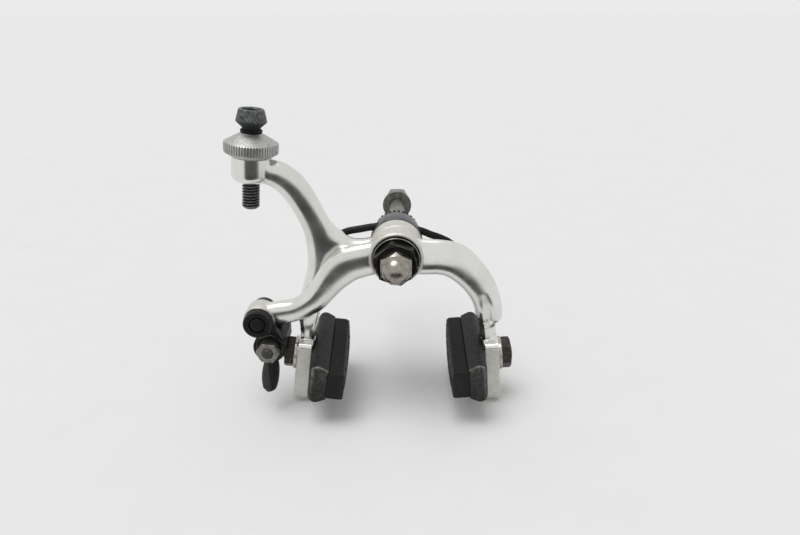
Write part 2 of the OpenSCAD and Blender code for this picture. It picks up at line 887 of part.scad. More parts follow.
// Two discs joined by a straight flank on both sides or on the upper side only, from y towards the front
module link(y, t, p, r, q, s, both = true) {
    step = q - p;
    far = norm(step);
    lean = acos((r - s) / far);
    base = atan2(step[1], step[0]);
    in_r = r * 0.985;
    in_s = s * 0.985;
    translate([0, y, 0])
        rotate([90, 0, 0])
            linear_extrude(t) {
                translate(p)
                    circle(r);
                translate(q)
                    circle(s);
                polygon([
                    p + in_r * [cos(base + lean), sin(base + lean)], q + in_s * [cos(base + lean), sin(base + lean)],
                    both ? q + in_s * [cos(base - lean), sin(base - lean)] : q,
                    both ? p + in_r * [cos(base - lean), sin(base - lean)] : p
                ]);
            }
}

// Thumb tab: a thin hollowed blade that widens and turns as it hangs
module thumb_tab() {
    count = 7;
    loft([
        for (i = [0:count])
            let (
                f = i / count,
                z = -clamp_dz - lever_lobe_d * 0.39 - f * (tab_len + lever_lobe_d * 0.11),
                w = tab_w / 2 * (0.62 + 0.38 * sin(150 * f)) * (f < 0.9 ? 1 : 0.72),
                t = 1.3 - 0.35 * f,
                turn = 30 + 22 * f
            )
            [
                for (k = [0:15])
                    let (
                        a = 22.5 * k,
                        u = w * signed_power(cos(a), 0.8),
                        v = t * signed_power(sin(a), 0.8) + 0.9 * (u * u) / (tab_w * tab_w / 4) - 0.4
                    )
                    [
                        clamp_dx - 1.2 * f + u * cos(turn) - v * sin(turn),
                        (cheek_front + cheek_rear) / 2 + u * sin(turn) + v * cos(turn) + 0.8 * f,
                        z
                    ]
            ]
    ]);
}

module release_lever() {
    clamp = [clamp_dx, -clamp_dz];
    color("black")
        release_frame()
            difference() {
                union() {
                    link(cheek_rear, cheek_t, [0, 0], lever_disc_d / 2, clamp, lever_lobe_d / 2, both = false);
                    link(
                        eye_rear + side_gap + rear_cheek_t, rear_cheek_t, [0, 0], spindle_d * 0.85,
                        [clamp_dx * 0.6, -clamp_dz * 0.6], spindle_d * 0.75
                    );
                    translate([0, cheek_rear, web_low])
                        cube([web_right, eye_rear + side_gap + rear_cheek_t - cheek_rear, web_z - web_low]);
                    thumb_tab();
                }
                translate([0, cheek_front - 1, 0])
                    rotate([-90, 0, 0])
                        cylinder(h = 4 * boss_t, d = spindle_d);
                translate([0, cheek_front + 0.8, 0])
                    rotate([90, 0, 0])
                        cylinder(h = 3, d = spindle_d + 1);
                translate([clamp_dx, cheek_front - 1, -clamp_dz])
                    rotate([-90, 0, 0])
                        cylinder(h = 4 * boss_t, d = anchor_bolt_d);
            }
}

module release_spindle() {
    color("dimgray")
        release_frame()
            turned(eye_rear + side_gap + rear_cheek_t + 0.8, [
                [0, 0], [spindle_d * 0.7, 0], [spindle_d * 0.75, 0.3], [spindle_d * 0.75, 0.8], [spindle_d / 2, 0.8],
                [spindle_d / 2, spindle_end - 0.6], [spindle_d / 2 - 0.3, spindle_end - 0.2],
                [spindle_d / 2 - 1, spindle_end], [0, spindle_end]
            ]);
}
spindle_end = eye_rear + side_gap + rear_cheek_t + 0.8 - cheek_front + 0.4;

module release_washer() {
    color("silver")
        release_frame()
            ring(eye_front, release_washer_t, anchor_eye_d - 0.2, spindle_d + 2 * run);
}

module anchor_bolt() {
    rear = eye_rear + side_gap + rear_cheek_t;
    front = cheek_front - anchor_washer_t - anchor_nut_t - 0.8;
    head_t = 2;
    r = anchor_bolt_d / 2;
    color("gray")
        translate([-anchor_x + clamp_dx, 0, -anchor_drop - clamp_dz])
            difference() {
                turned(rear + head_t, [
                    [0, 0], [r * 1.5, 0], [r * 1.6, 0.3], [r * 1.6, head_t], [r, head_t],
                    [r, rear + head_t - front - 0.6], [r - 0.6, rear + head_t - front], [0, rear + head_t - front]
                ]);
                translate([0, cheek_front, -anchor_af])
                    cylinder(h = 2 * anchor_af, d = cable_d * 0.8);
            }
}

module anchor_washer() {
    color("gray")
        translate([-anchor_x + clamp_dx, 0, -anchor_drop - clamp_dz])
            ring(cheek_front, anchor_washer_t, anchor_af * 1.1, anchor_bolt_d + 2 * run);
}

module anchor_nut() {
    color("silver")
        translate([-anchor_x + clamp_dx, 0, -anchor_drop - clamp_dz])
            hex_nut(cheek_front - anchor_washer_t, anchor_nut_t, anchor_af, anchor_bolt_d, turn = 6);
}

pivot_bolt();
spring_block();
return_spring();
seat_washer();
rear_thrust_washer();
arm_washer();
cover_washer();
front_washer();
lock_nut();
acorn_nut();
mount_washer();
mount_nut();
front_arm();
front_spring_peg();
right_holder();
right_block();
right_stud();
right_shoe_washer();
right_shoe_nut();
rear_arm();
rear_spring_peg();
left_holder();
left_block();
left_stud();
left_shoe_washer();
left_shoe_nut();
adjuster_nut();
adjuster_ring();
adjuster_screw();
release_lever();
release_spindle();
release_washer();
anchor_bolt();
anchor_washer();
anchor_nut();
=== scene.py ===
"""Side-pull caliper brake, dressed for a studio picture around its solids.

Metres throughout, in the solids' own frame: the pivot axis runs along Y with the front at -Y,
+Z is up, and the origin is on the rear face of the serrated seat washer.
"""
import json

import bpy
import numpy as np
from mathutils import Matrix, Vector


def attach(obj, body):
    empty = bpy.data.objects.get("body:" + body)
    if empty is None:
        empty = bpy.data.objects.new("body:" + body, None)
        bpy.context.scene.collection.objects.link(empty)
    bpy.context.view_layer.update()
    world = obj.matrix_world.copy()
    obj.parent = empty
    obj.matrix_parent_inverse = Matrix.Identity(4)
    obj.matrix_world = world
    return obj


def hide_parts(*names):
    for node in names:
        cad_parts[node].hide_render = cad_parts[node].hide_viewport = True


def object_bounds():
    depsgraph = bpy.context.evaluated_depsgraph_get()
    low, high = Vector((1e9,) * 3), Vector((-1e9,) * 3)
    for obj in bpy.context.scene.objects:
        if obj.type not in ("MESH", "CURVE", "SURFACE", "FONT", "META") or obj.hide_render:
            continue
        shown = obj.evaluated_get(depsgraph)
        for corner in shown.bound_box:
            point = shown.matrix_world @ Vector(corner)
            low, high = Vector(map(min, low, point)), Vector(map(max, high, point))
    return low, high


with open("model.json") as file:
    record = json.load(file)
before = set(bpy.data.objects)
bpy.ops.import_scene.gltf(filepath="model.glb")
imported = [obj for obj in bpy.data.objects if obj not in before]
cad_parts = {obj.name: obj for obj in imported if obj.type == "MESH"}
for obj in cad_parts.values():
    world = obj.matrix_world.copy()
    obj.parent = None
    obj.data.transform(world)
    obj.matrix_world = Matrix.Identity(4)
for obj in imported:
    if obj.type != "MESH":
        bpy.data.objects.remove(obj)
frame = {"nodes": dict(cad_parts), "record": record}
CAD_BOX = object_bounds()
NODES = frame["nodes"]
SCENE = bpy.context.scene
MM = 0.001

# ---------------------------------------------------------------- sizes, in millimetres

# places along the pivot axis
REAR_ARM_BACK, FRONT_ARM_BACK = -13.2, -20.7
REAR_MID, FRONT_MID, PLATE_MID = -16.8, -24.3, -20.55
WASHER_FRONT, CHEEK_FRONT, LOCK_FRONT = -29.26, -30.9, -33.76
SPRING_MID = -9.93

# arms
BOSS_R, BOSS_T, BOSS_EDGE = 9.05, 7.2, 0.5
LIMB_HALF = 3.5
NECK_DROP, NECK_W, PLATE_STEP = 28.5, 6.4, 4.5
PLATE_TOP = -NECK_DROP - PLATE_STEP
FRONT_LIMB_HALF, REAR_LIMB_HALF = 6.1, 4.75
RIGHT_REACH, LEFT_REACH = 32.3, 31.3
PLATE = dict(w=13.0, t=5.2, length=23.2, corner=2.0, slot_w=6.3, slot_top=-6.37, travel=11.5)
RIGHT_PLATE = dict(side=1, at=33.9, splay=4.5, toe=-1.2)
LEFT_PLATE = dict(side=-1, at=32.5, splay=8.0, toe=2.1)
ANCHOR = (47.6, 23.2)
ANCHOR_EYE_R, ANCHOR_EYE_T, ANCHOR_EYE_EDGE = 5.4, 7.0, 0.7
ADJUSTER = (48.0, 27.9)
ADJUSTER_LEAN = 5.6
ADJUSTER_EYE_R, ADJUSTER_EYE_H = 6.45, 8.9
PIVOT_BORE_R, ANCHOR_BORE_R, ADJUSTER_BORE_R, PEG_HOLE_R = 3.05, 2.55, 3.0, 1.5
FRONT_PEG, REAR_PEG, PEG_REACH = (27.91, -12), (-29.14, -11.51), 7
SECTION_POWER = 2.3
SKIN_INSET, EYE_INSET = 0.12, 0.1  # how far the fused cores lie inside the machined shapes
SATIN_BELOW = PLATE_TOP - 2.2

# small pieces
WIRE_R = 1.3
LOBE = (-ANCHOR[0] + 3.6, -ANCHOR[1] - 8.8)
SHOE = dict(
    drop=7.0, length=41.0, back=-2.9, mouth=-9.5, holder_h=14.7, block_h=10.3, block_out=5.5, end_round=2.2,
)


# ---------------------------------------------------------------- surfaces

def catmull(rows, steps):
    """Smooth curve through rows of numbers: the Catmull-Rom cubic of each four neighbours, `steps` points a span."""
    rows = np.asarray(rows, float)
    ends = np.vstack([rows[:1], rows, rows[-1:]])
    a, b, c, d = (ends[i:len(rows) - 1 + i, None, :] for i in range(4))
    t = (np.arange(steps) / steps)[None, :, None]
    line = 0.5 * (2 * b + (c - a) * t + (2 * a - 5 * b + 4 * c - d) * t**2 + (3 * b - a - 3 * c + d) * t**3)
    return np.vstack([line.reshape(-1, rows.shape[1]), rows[-1:]])


def grid_faces(rings, around, closed_ends=True, ring_loop=False):
    """Quads between neighbouring rings of points. Open rows of rings get a flat cap on both ends, and in a ring
    loop the last ring joins the first."""
    j = np.arange(rings if ring_loop else rings - 1)[:, None]
    i = np.arange(around)[None, :]
    here, there, beside = j * around, (j + 1) % rings * around, (i + 1) % around
    faces = np.stack([here + i, here + beside, there + beside, there + i], -1).reshape(-1, 4).tolist()
    if closed_ends and not ring_loop:
        faces.append(list(range(around - 1, -1, -1)))
        faces.append(list(range((rings - 1) * around, rings * around)))
    return faces


def patch(corners, cells=4):
    """Four-cornered sheet: the bilinear blend of its corners, (1-u)(1-v)A + u(1-v)B + uvC + (1-u)vD, on a grid."""
    a, b, c, d = np.array(corners, float)
    u, v = np.meshgrid(np.linspace(0, 1, cells + 1), np.linspace(0, 1, cells + 1))
    u, v = u.ravel()[:, None], v.ravel()[:, None]
    points = (1 - u) * (1 - v) * a + u * (1 - v) * b + u * v * c + (1 - u) * v * d
    j, i = np.meshgrid(np.arange(cells), np.arange(cells), indexing="ij")
    low = (j * (cells + 1) + i).ravel()
    return points, np.stack([low, low + 1, low + cells + 2, low + cells + 1], 1).tolist()


def limb(rows, around=72, steps=12, tilt=0.0, groove=None):
    """Forged limb: superellipse sections |u/w|^p + |v/d|^p = 1 stand square to a smooth path in the XZ plane.

    Each row is [x, z, half width, half depth, y]; the rows are joined by a Catmull-Rom curve. The front face leans
    by `tilt` across the section, and a groove (start, end, place across, half width, depth) dips it along the path.
    """
    line = catmull(rows, steps)
    before, after = np.vstack([line[:1], line[:-1]]), np.vstack([line[1:], line[-1:]])
    heading = (after - before)[:, :2]
    heading /= np.linalg.norm(heading, axis=1, keepdims=True)
    side = np.stack([-heading[:, 1], heading[:, 0]], 1)
    angle = 2 * np.pi * np.arange(around) / around
    power = 2 / SECTION_POWER
    cos = np.sign(np.cos(angle)) * np.abs(np.cos(angle)) ** power
    sin = np.sign(np.sin(angle)) * np.abs(np.sin(angle)) ** power
    across, depth = line[:, 2:3] * cos, line[:, 3:4] * sin
    front = np.clip(-sin, 0, 1)
    depth = depth + tilt * across * front
    if groove:
        start, end, place, half, deep = groove
        travel = np.linspace(0, 1, len(line))[:, None]
        along = np.clip((travel - start) / 0.12, 0, 1) * np.clip((end - travel) / 0.03, 0, 1)
        dip = np.exp(-((across / line[:, 2:3] - place) / half) ** 2)
        depth = depth + deep * along * dip * front
    points = np.stack([
        line[:, 0:1] + side[:, 0:1] * across,
        line[:, 4:5] + depth,
        line[:, 1:2] + side[:, 1:2] * across,
    ], -1)
    return points.reshape(-1, 3), grid_faces(len(line), around)


def turned(profile, around=96):
    """Turned piece about Z: the profile of [radius, height] points, radius 0 at both ends, is swept round the axis."""
    profile = np.asarray(profile, float)
    angle = 2 * np.pi * np.arange(around) / around
    body = profile[1:-1]
    points = np.stack([
        body[:, :1] * np.cos(angle), body[:, :1] * np.sin(angle), body[:, 1:] * np.ones(around),
    ], -1).reshape(-1, 3)
    first, last = len(points), len(points) + 1
    points = np.vstack([points, [[0, 0, profile[0, 1]], [0, 0, profile[-1, 1]]]])
    faces = grid_faces(len(body), around, closed_ends=False)
    ring = np.arange(around)
    end = (len(body) - 1) * around
    faces += np.stack([np.full(around, first), (ring + 1) % around, ring], 1).tolist()
    faces += np.stack([np.full(around, last), end + ring, end + (ring + 1) % around], 1).tolist()
    return points, faces


def slab(outline, low, high):
    """Flat plate: a closed outline of [x, y] points raised from height low to height high."""
    outline = np.asarray(outline, float)
    n = len(outline)
    points = np.vstack([np.c_[outline, np.full(n, low)], np.c_[outline, np.full(n, high)]])
    return points, grid_faces(2, n)


def about_pivot(shape, back, x=0.0, z=0.0):
    """Stands a shape turned about Z along the pivot axis: its height runs to the front from the plane y = back."""
    points, faces = shape
    return np.stack([points[:, 0] + x, back - points[:, 2], points[:, 1] + z], 1), faces


def leaned(shape, x, y, z, lean):
    """Leans a shape about Y by `lean` degrees, then moves it to (x, y, z)."""
    points, faces = shape
    px, py, pz = points.T
    c, s = np.cos(np.radians(lean)), np.sin(np.radians(lean))
    return np.stack([px * c + pz * s + x, py + y, pz * c - px * s + z], 1), faces


def adjuster_place(shape):
    """Puts a shape turned about Z on the adjuster's leaning axis, its zero height at the middle of the eye."""
    return leaned(shape, -ADJUSTER[0], REAR_MID, ADJUSTER[1], ADJUSTER_LEAN)


def plate_place(shape, plate):
    """Puts a shape given in a slotted plate's own frame (+X away from the rim, top at z = 0) onto its arm: twisted
    by the toe, leaned by the splay, moved, and mirrored on the left."""
    points, faces = shape
    px, py, pz = points.T
    twist = np.radians(plate["toe"] * plate["side"])
    c, s = np.cos(twist), np.sin(twist)
    points = np.stack([px * c - py * s, px * s + py * c, pz], 1)
    points, faces = leaned((points, faces), plate["at"], PLATE_MID, PLATE_TOP, -plate["splay"])
    if plate["side"] < 0:
        points = points * np.array([-1, 1, 1])
        faces = [f[::-1] for f in faces]
    return points, faces


def joined(*shapes):
    """Several closed shapes as one set of points and faces: each one's faces count on from the points before."""
    points, faces, at = [], [], 0
    for p, f in shapes:
        points.append(p)
        faces += [[i + at for i in face] for face in f]
        at += len(p)
    return np.vstack(points), faces


def piece(name, shape, smooth_angle=35):
    """Blender object at the origin from points in millimetres, shaded smooth up to an edge angle."""
    points, faces = shape
    mesh = bpy.data.meshes.new(name)
    mesh.from_pydata((points * MM).tolist(), [], faces)
    mesh.validate()
    obj = bpy.data.objects.new(name, mesh)
    SCENE.collection.objects.link(obj)
    shade(obj, smooth_angle)
    return obj


def scuffed(obj, amounts):
    """Stores how worn each point of a mesh is, for the material's scuffs."""
    layer = obj.data.attributes.new("scuff", "FLOAT", "POINT")
    layer.data.foreach_set("value", np.ascontiguousarray(amounts, dtype=np.float32))


def shade(obj, angle):
    """Smooth shading, with the edges sharper than the angle kept sharp."""
    if angle:
        obj.data.shade_smooth()
        obj.data.set_sharp_from_angle(angle=np.radians(angle))


def apply_modifiers(obj):
    """Replaces the mesh with its evaluated copy and drops the modifiers."""
    bpy.context.view_layer.update()
    evaluated = obj.evaluated_get(bpy.context.evaluated_depsgraph_get())
    mesh = bpy.data.meshes.new_from_object(evaluated)
    old = obj.data
    obj.modifiers.clear()
    obj.data = mesh
    mesh.name = obj.name
    bpy.data.meshes.remove(old)


def cut(obj, other_shape, operation):
    """Boolean of a piece with a closed shape, which is removed again."""
    tool = piece("tool", other_shape, 0)
    modifier = obj.modifiers.new("cut", "BOOLEAN")
    modifier.operation = operation
    modifier.solver = "MANIFOLD"
    modifier.object = tool
    apply_modifiers(obj)
    bpy.data.objects.remove(tool)


# ---------------------------------------------------------------- arms

def leg_foot(x, w, y, out):
    """Last rows of a pad leg: a full section swings to the plates' plane, then a neck runs into the plate."""
    t, step, low = LIMB_HALF, PLATE_MID - y, -PLATE_TOP
    return [
        [x + 0.5, -NECK_DROP * 0.82, w, t, y + step * 0.3],
        [x + 0.3, -NECK_DROP * 0.9, (w + NECK_W / 2) / 2, t * 0.93, y + step * 0.65],
        [x + out * 0.2, -NECK_DROP * 0.99, NECK_W / 2, t * 0.85, y + step * 0.95],
        [x + out * 0.5, -low + PLATE_STEP * 0.32, NECK_W * 0.46, t * 0.83, PLATE_MID],
        [x + out * 0.85, -low + PLATE_STEP * 0.05, PLATE["t"] * 0.48, t * 0.8, PLATE_MID],
        [x + out * 1.1, -low - PLATE_STEP * 0.35, PLATE["t"] * 0.42, t * 0.78, PLATE_MID],
    ]


def cylinder(r, low, high, chamfer=0.0, around=96):
    """Closed cylinder about Z with chamfered rims."""
    c = chamfer
    if c:
        return turned([[0, low], [r - c, low], [r, low + c], [r, high - c], [r - c, high], [0, high]], around)
    return turned([[0, low], [r, low], [r, high], [0, high]], around)


def core(r, length, inset, chamfer):
    """Cylinder that lies `inset` inside the machined one of the same radius and length."""
    return cylinder(r - inset, inset, length - inset, chamfer)


def plate_outline(half_w, length, corner, around=10):
    """Rounded rectangle hanging from z = 0: four straight sides and four quarter circles."""
    angle = np.radians(np.linspace(0, 90, around))
    arc = np.stack([np.cos(angle), np.sin(angle)], 1) * corner
    corners = []
    for quarter, centre in enumerate([
        (half_w - corner, -corner), (corner - half_w, -corner),
        (corner - half_w, corner - length), (half_w - corner, corner - length),
    ]):
        turn = np.radians(90 * quarter)
        spin = np.array([[np.cos(turn), np.sin(turn)], [-np.sin(turn), np.cos(turn)]])
        corners.append(arc @ spin + centre)
    return np.vstack(corners)


def across_x(shape):
    """Lays a slab's outline into the YZ plane and its height along X."""
    points, faces = shape
    return np.stack([points[:, 2], points[:, 0], points[:, 1]], 1), faces


def plate_blank(bevel=0.35, inset=0.0):
    """Slotted plate's blank: the rounded outline, drawn in by the bevel on both faces and by `inset` all round."""
    full = plate_outline(PLATE["w"] / 2 - inset, PLATE["length"] - 2 * inset, PLATE["corner"]) - [0, inset]
    small = full.copy()
    centre = np.array([0, -PLATE["length"] / 2])
    half = np.array([PLATE["w"] / 2, PLATE["length"] / 2])
    small = centre + (full - centre) * (1 - bevel / half)
    t = PLATE["t"] / 2 - inset
    n = len(full)
    layers = [(small, -t), (full, bevel - t), (full, t - bevel), (small, t)]
    points = np.vstack([np.c_[o, np.full(n, h)] for o, h in layers])
    return across_x((points, grid_faces(len(layers), n)))


def plate_slot():
    """Stadium through the plate: two half circles a travel apart."""
    r = PLATE["slot_w"] / 2
    angle = np.radians(np.linspace(0, 180, 25))
    top = np.stack([r * np.cos(angle), r * np.sin(angle) + PLATE["slot_top"]], 1)
    low = np.stack([-r * np.cos(angle), -r * np.sin(angle) + PLATE["slot_top"] - PLATE["travel"]], 1)
    return across_x(slab(np.vstack([top, low]), -PLATE["t"], PLATE["t"]))


def mark_satin(obj, rounds):
    """Gives the machined faces the satin finish: those within a radius of an axis along Y, and the plate's."""
    mesh = obj.data
    centre = np.zeros(len(mesh.polygons) * 3)
    mesh.polygons.foreach_get("center", centre)
    centre = centre.reshape(-1, 3) / MM
    satin = centre[:, 2] < SATIN_BELOW
    for x, z, r in rounds:
        satin |= np.hypot(centre[:, 0] - x, centre[:, 2] - z) < r
    mesh.materials.clear()
    mesh.materials.append(FINISHES["polished_alloy"])
    mesh.materials.append(FINISHES["satin_alloy"])
    mesh.polygons.foreach_set("material_index", satin.astype(np.int32))


def peg_hole(middle, place):
    """Blind hole for a spring peg, bored from an arm's back to its middle."""
    return about_pivot(cylinder(PEG_HOLE_R, -1, PEG_REACH, around=32), middle + PEG_REACH, *place)


def forged(name, soft_shapes, crisp_shapes, cuts, rounds, voxel=0.3):
    """Forged and machined arm: the soft shapes are fused into one skin, whose joins become fillets as each point
    moves `rounds` times half way to its neighbours' mean. Then crisp shapes are added and the holes are cut."""
    obj = piece(name, joined(*soft_shapes), 0)
    remesh = obj.modifiers.new("fuse", "REMESH")
    remesh.mode = "VOXEL"
    remesh.voxel_size = voxel * MM
    relax = obj.modifiers.new("relax", "SMOOTH")
    relax.factor = 0.5
    relax.iterations = rounds
    apply_modifiers(obj)
    for shape in crisp_shapes:
        cut(obj, shape, "UNION")
    for shape in cuts:
        cut(obj, shape, "DIFFERENCE")
    shade(obj, 32)
    return obj


def make_front_arm():
    """Front arm: the right pad leg and the left cable limb, one boss, one cable eye and one slotted plate."""
    x, z, w, t, y = RIGHT_REACH, NECK_DROP, FRONT_LIMB_HALF, LIMB_HALF, FRONT_MID
    ax, az = ANCHOR
    pad_leg = [
        [x * 0.13, 0, w, t, y], [x * 0.3, -z * 0.017, w, t, y], [x * 0.46, -z * 0.02, w * 0.98, t, y],
        [x * 0.62, -z * 0.07, w, t, y], [x * 0.775, -z * 0.22, w * 0.92, t, y], [x * 0.88, -z * 0.37, w * 0.87, t, y],
        [x * 0.945, -z * 0.51, w * 0.82, t, y], [x * 0.99, -z * 0.67, w * 0.79, t, y],
    ] + leg_foot(x, w * 0.75, y, 1.6)
    cable_limb = [
        [-ax * 0.09, -az * 0.02, w, t, y], [-ax * 0.18, -az * 0.05, w * 0.97, t, y],
        [-ax * 0.325, -az * 0.13, w, t, y], [-ax * 0.4, -az * 0.235, w * 0.97, t, y],
        [-ax * 0.47, -az * 0.385, w * 0.87, t, y], [-ax * 0.54, -az * 0.575, w * 0.77, t, y],
        [-ax * 0.61, -az * 0.73, w * 0.71, t, y], [-ax * 0.73, -az * 0.87, w * 0.66, t * 0.98, y],
        [-ax * 0.87, -az * 0.94, w * 0.73, t * 0.96, y], [-ax * 0.97, -az * 0.99, w * 0.75, t * 0.94, y],
    ]
    eye_back, eye_edge = FRONT_MID + ANCHOR_EYE_T / 2, ANCHOR_EYE_EDGE
    return forged(
        "front_arm_forging",
        [
            limb(pad_leg, tilt=0.3, groove=(0.42, 0.72, -0.12, 0.24, 1.0)),
            limb(cable_limb),
            about_pivot(core(ANCHOR_EYE_R, ANCHOR_EYE_T, EYE_INSET, eye_edge), eye_back, -ax, -az),
            about_pivot(core(BOSS_R, BOSS_T, SKIN_INSET, BOSS_EDGE), FRONT_ARM_BACK),
            plate_place(plate_blank(inset=SKIN_INSET), RIGHT_PLATE),
        ],
        [
            about_pivot(cylinder(BOSS_R, 0, BOSS_T, BOSS_EDGE), FRONT_ARM_BACK),
            about_pivot(cylinder(ANCHOR_EYE_R, 0, ANCHOR_EYE_T, eye_edge), eye_back, -ax, -az),
            plate_place(plate_blank(), RIGHT_PLATE),
        ],
        [
            about_pivot(cylinder(PIVOT_BORE_R, -1, BOSS_T + 1), FRONT_ARM_BACK),
            about_pivot(cylinder(ANCHOR_BORE_R, -1, ANCHOR_EYE_T + 1), eye_back, -ax, -az),
            plate_place(plate_slot(), RIGHT_PLATE),
            peg_hole(FRONT_MID, FRONT_PEG),
        ],
        rounds=26,
    )


def make_rear_arm():
    """Rear arm: the adjuster limb runs down into the left pad leg, and a hub limb ties it to the boss."""
    x, z, w, t, y = LEFT_REACH, NECK_DROP, REAR_LIMB_HALF, LIMB_HALF, REAR_MID
    ux, uz = ADJUSTER
    foot = [[-r[0]] + r[1:] for r in leg_foot(x, w * 0.93, y, 1.2)]
    upper_and_leg = [
        [-ux * 0.97, uz * 0.94, w * 0.72, t * 1.05, y], [-ux * 0.885, uz * 0.955, w * 0.9, t, y],
        [-ux * 0.81, uz * 0.915, w * 0.99, t, y], [-ux * 0.735, uz * 0.81, w * 1.02, t, y],
        [-ux * 0.67, uz * 0.65, w * 1.02, t, y], [-ux * 0.61, uz * 0.45, w, t, y],
        [-ux * 0.56, uz * 0.23, w * 1.05, t, y], [-x * 0.81, -z * 0.03, w * 1.22, t, y],
        [-x * 0.83, -z * 0.25, w * 1.12, t, y], [-x * 0.895, -z * 0.48, w * 1.03, t, y],
        [-x * 0.955, -z * 0.66, w * 0.98, t, y],
    ] + foot
    hub = [
        [-x * 0.13, -z * 0.01, w * 1.1, t, y], [-x * 0.31, -z * 0.03, w * 0.91, t, y],
        [-x * 0.46, -z * 0.035, w * 0.88, t, y], [-x * 0.58, -z * 0.012, w, t, y],
        [-x * 0.66, z * 0.01, w * 1.35, t, y], [-x * 0.73, z * 0.02, w * 1.75, t, y],
        [-x * 0.79, z * 0.03, w * 2.02, t * 0.97, y],
    ]
    r, h = ADJUSTER_EYE_R, ADJUSTER_EYE_H / 2
    round_r = r * 0.45
    angle = np.radians(np.linspace(0, 90, 13))
    low_edge = np.stack([r - round_r + round_r * np.sin(angle), -h + round_r - round_r * np.cos(angle)], 1)
    eye = [[0, -h]] + low_edge.tolist() + [[r, h - 0.4], [r - 0.4, h], [0, h]]
    n = EYE_INSET
    inner = [[0, n - h]] + (low_edge + [-n, n]).tolist() + [[r - n, h - 0.4 - n], [r - 0.4 - n, h - n], [0, h - n]]
    return forged(
        "rear_arm_forging",
        [
            limb(upper_and_leg),
            limb(hub),
            adjuster_place(turned(inner)),
            about_pivot(core(BOSS_R, BOSS_T, SKIN_INSET, BOSS_EDGE), REAR_ARM_BACK),
            plate_place(plate_blank(inset=SKIN_INSET), LEFT_PLATE),
        ],
        [
            about_pivot(cylinder(BOSS_R, 0, BOSS_T, BOSS_EDGE), REAR_ARM_BACK),
            adjuster_place(turned(eye)),
            plate_place(plate_blank(), LEFT_PLATE),
        ],
        [
            about_pivot(cylinder(PIVOT_BORE_R, -1, BOSS_T + 1), REAR_ARM_BACK),
            adjuster_place(cylinder(ADJUSTER_BORE_R, -ADJUSTER_EYE_H - 0.1, ADJUSTER_EYE_H + 0.1)),
            plate_place(plate_slot(), LEFT_PLATE),
            peg_hole(REAR_MID, REAR_PEG),
        ],
        rounds=54,
    )


# ---------------------------------------------------------------- materials

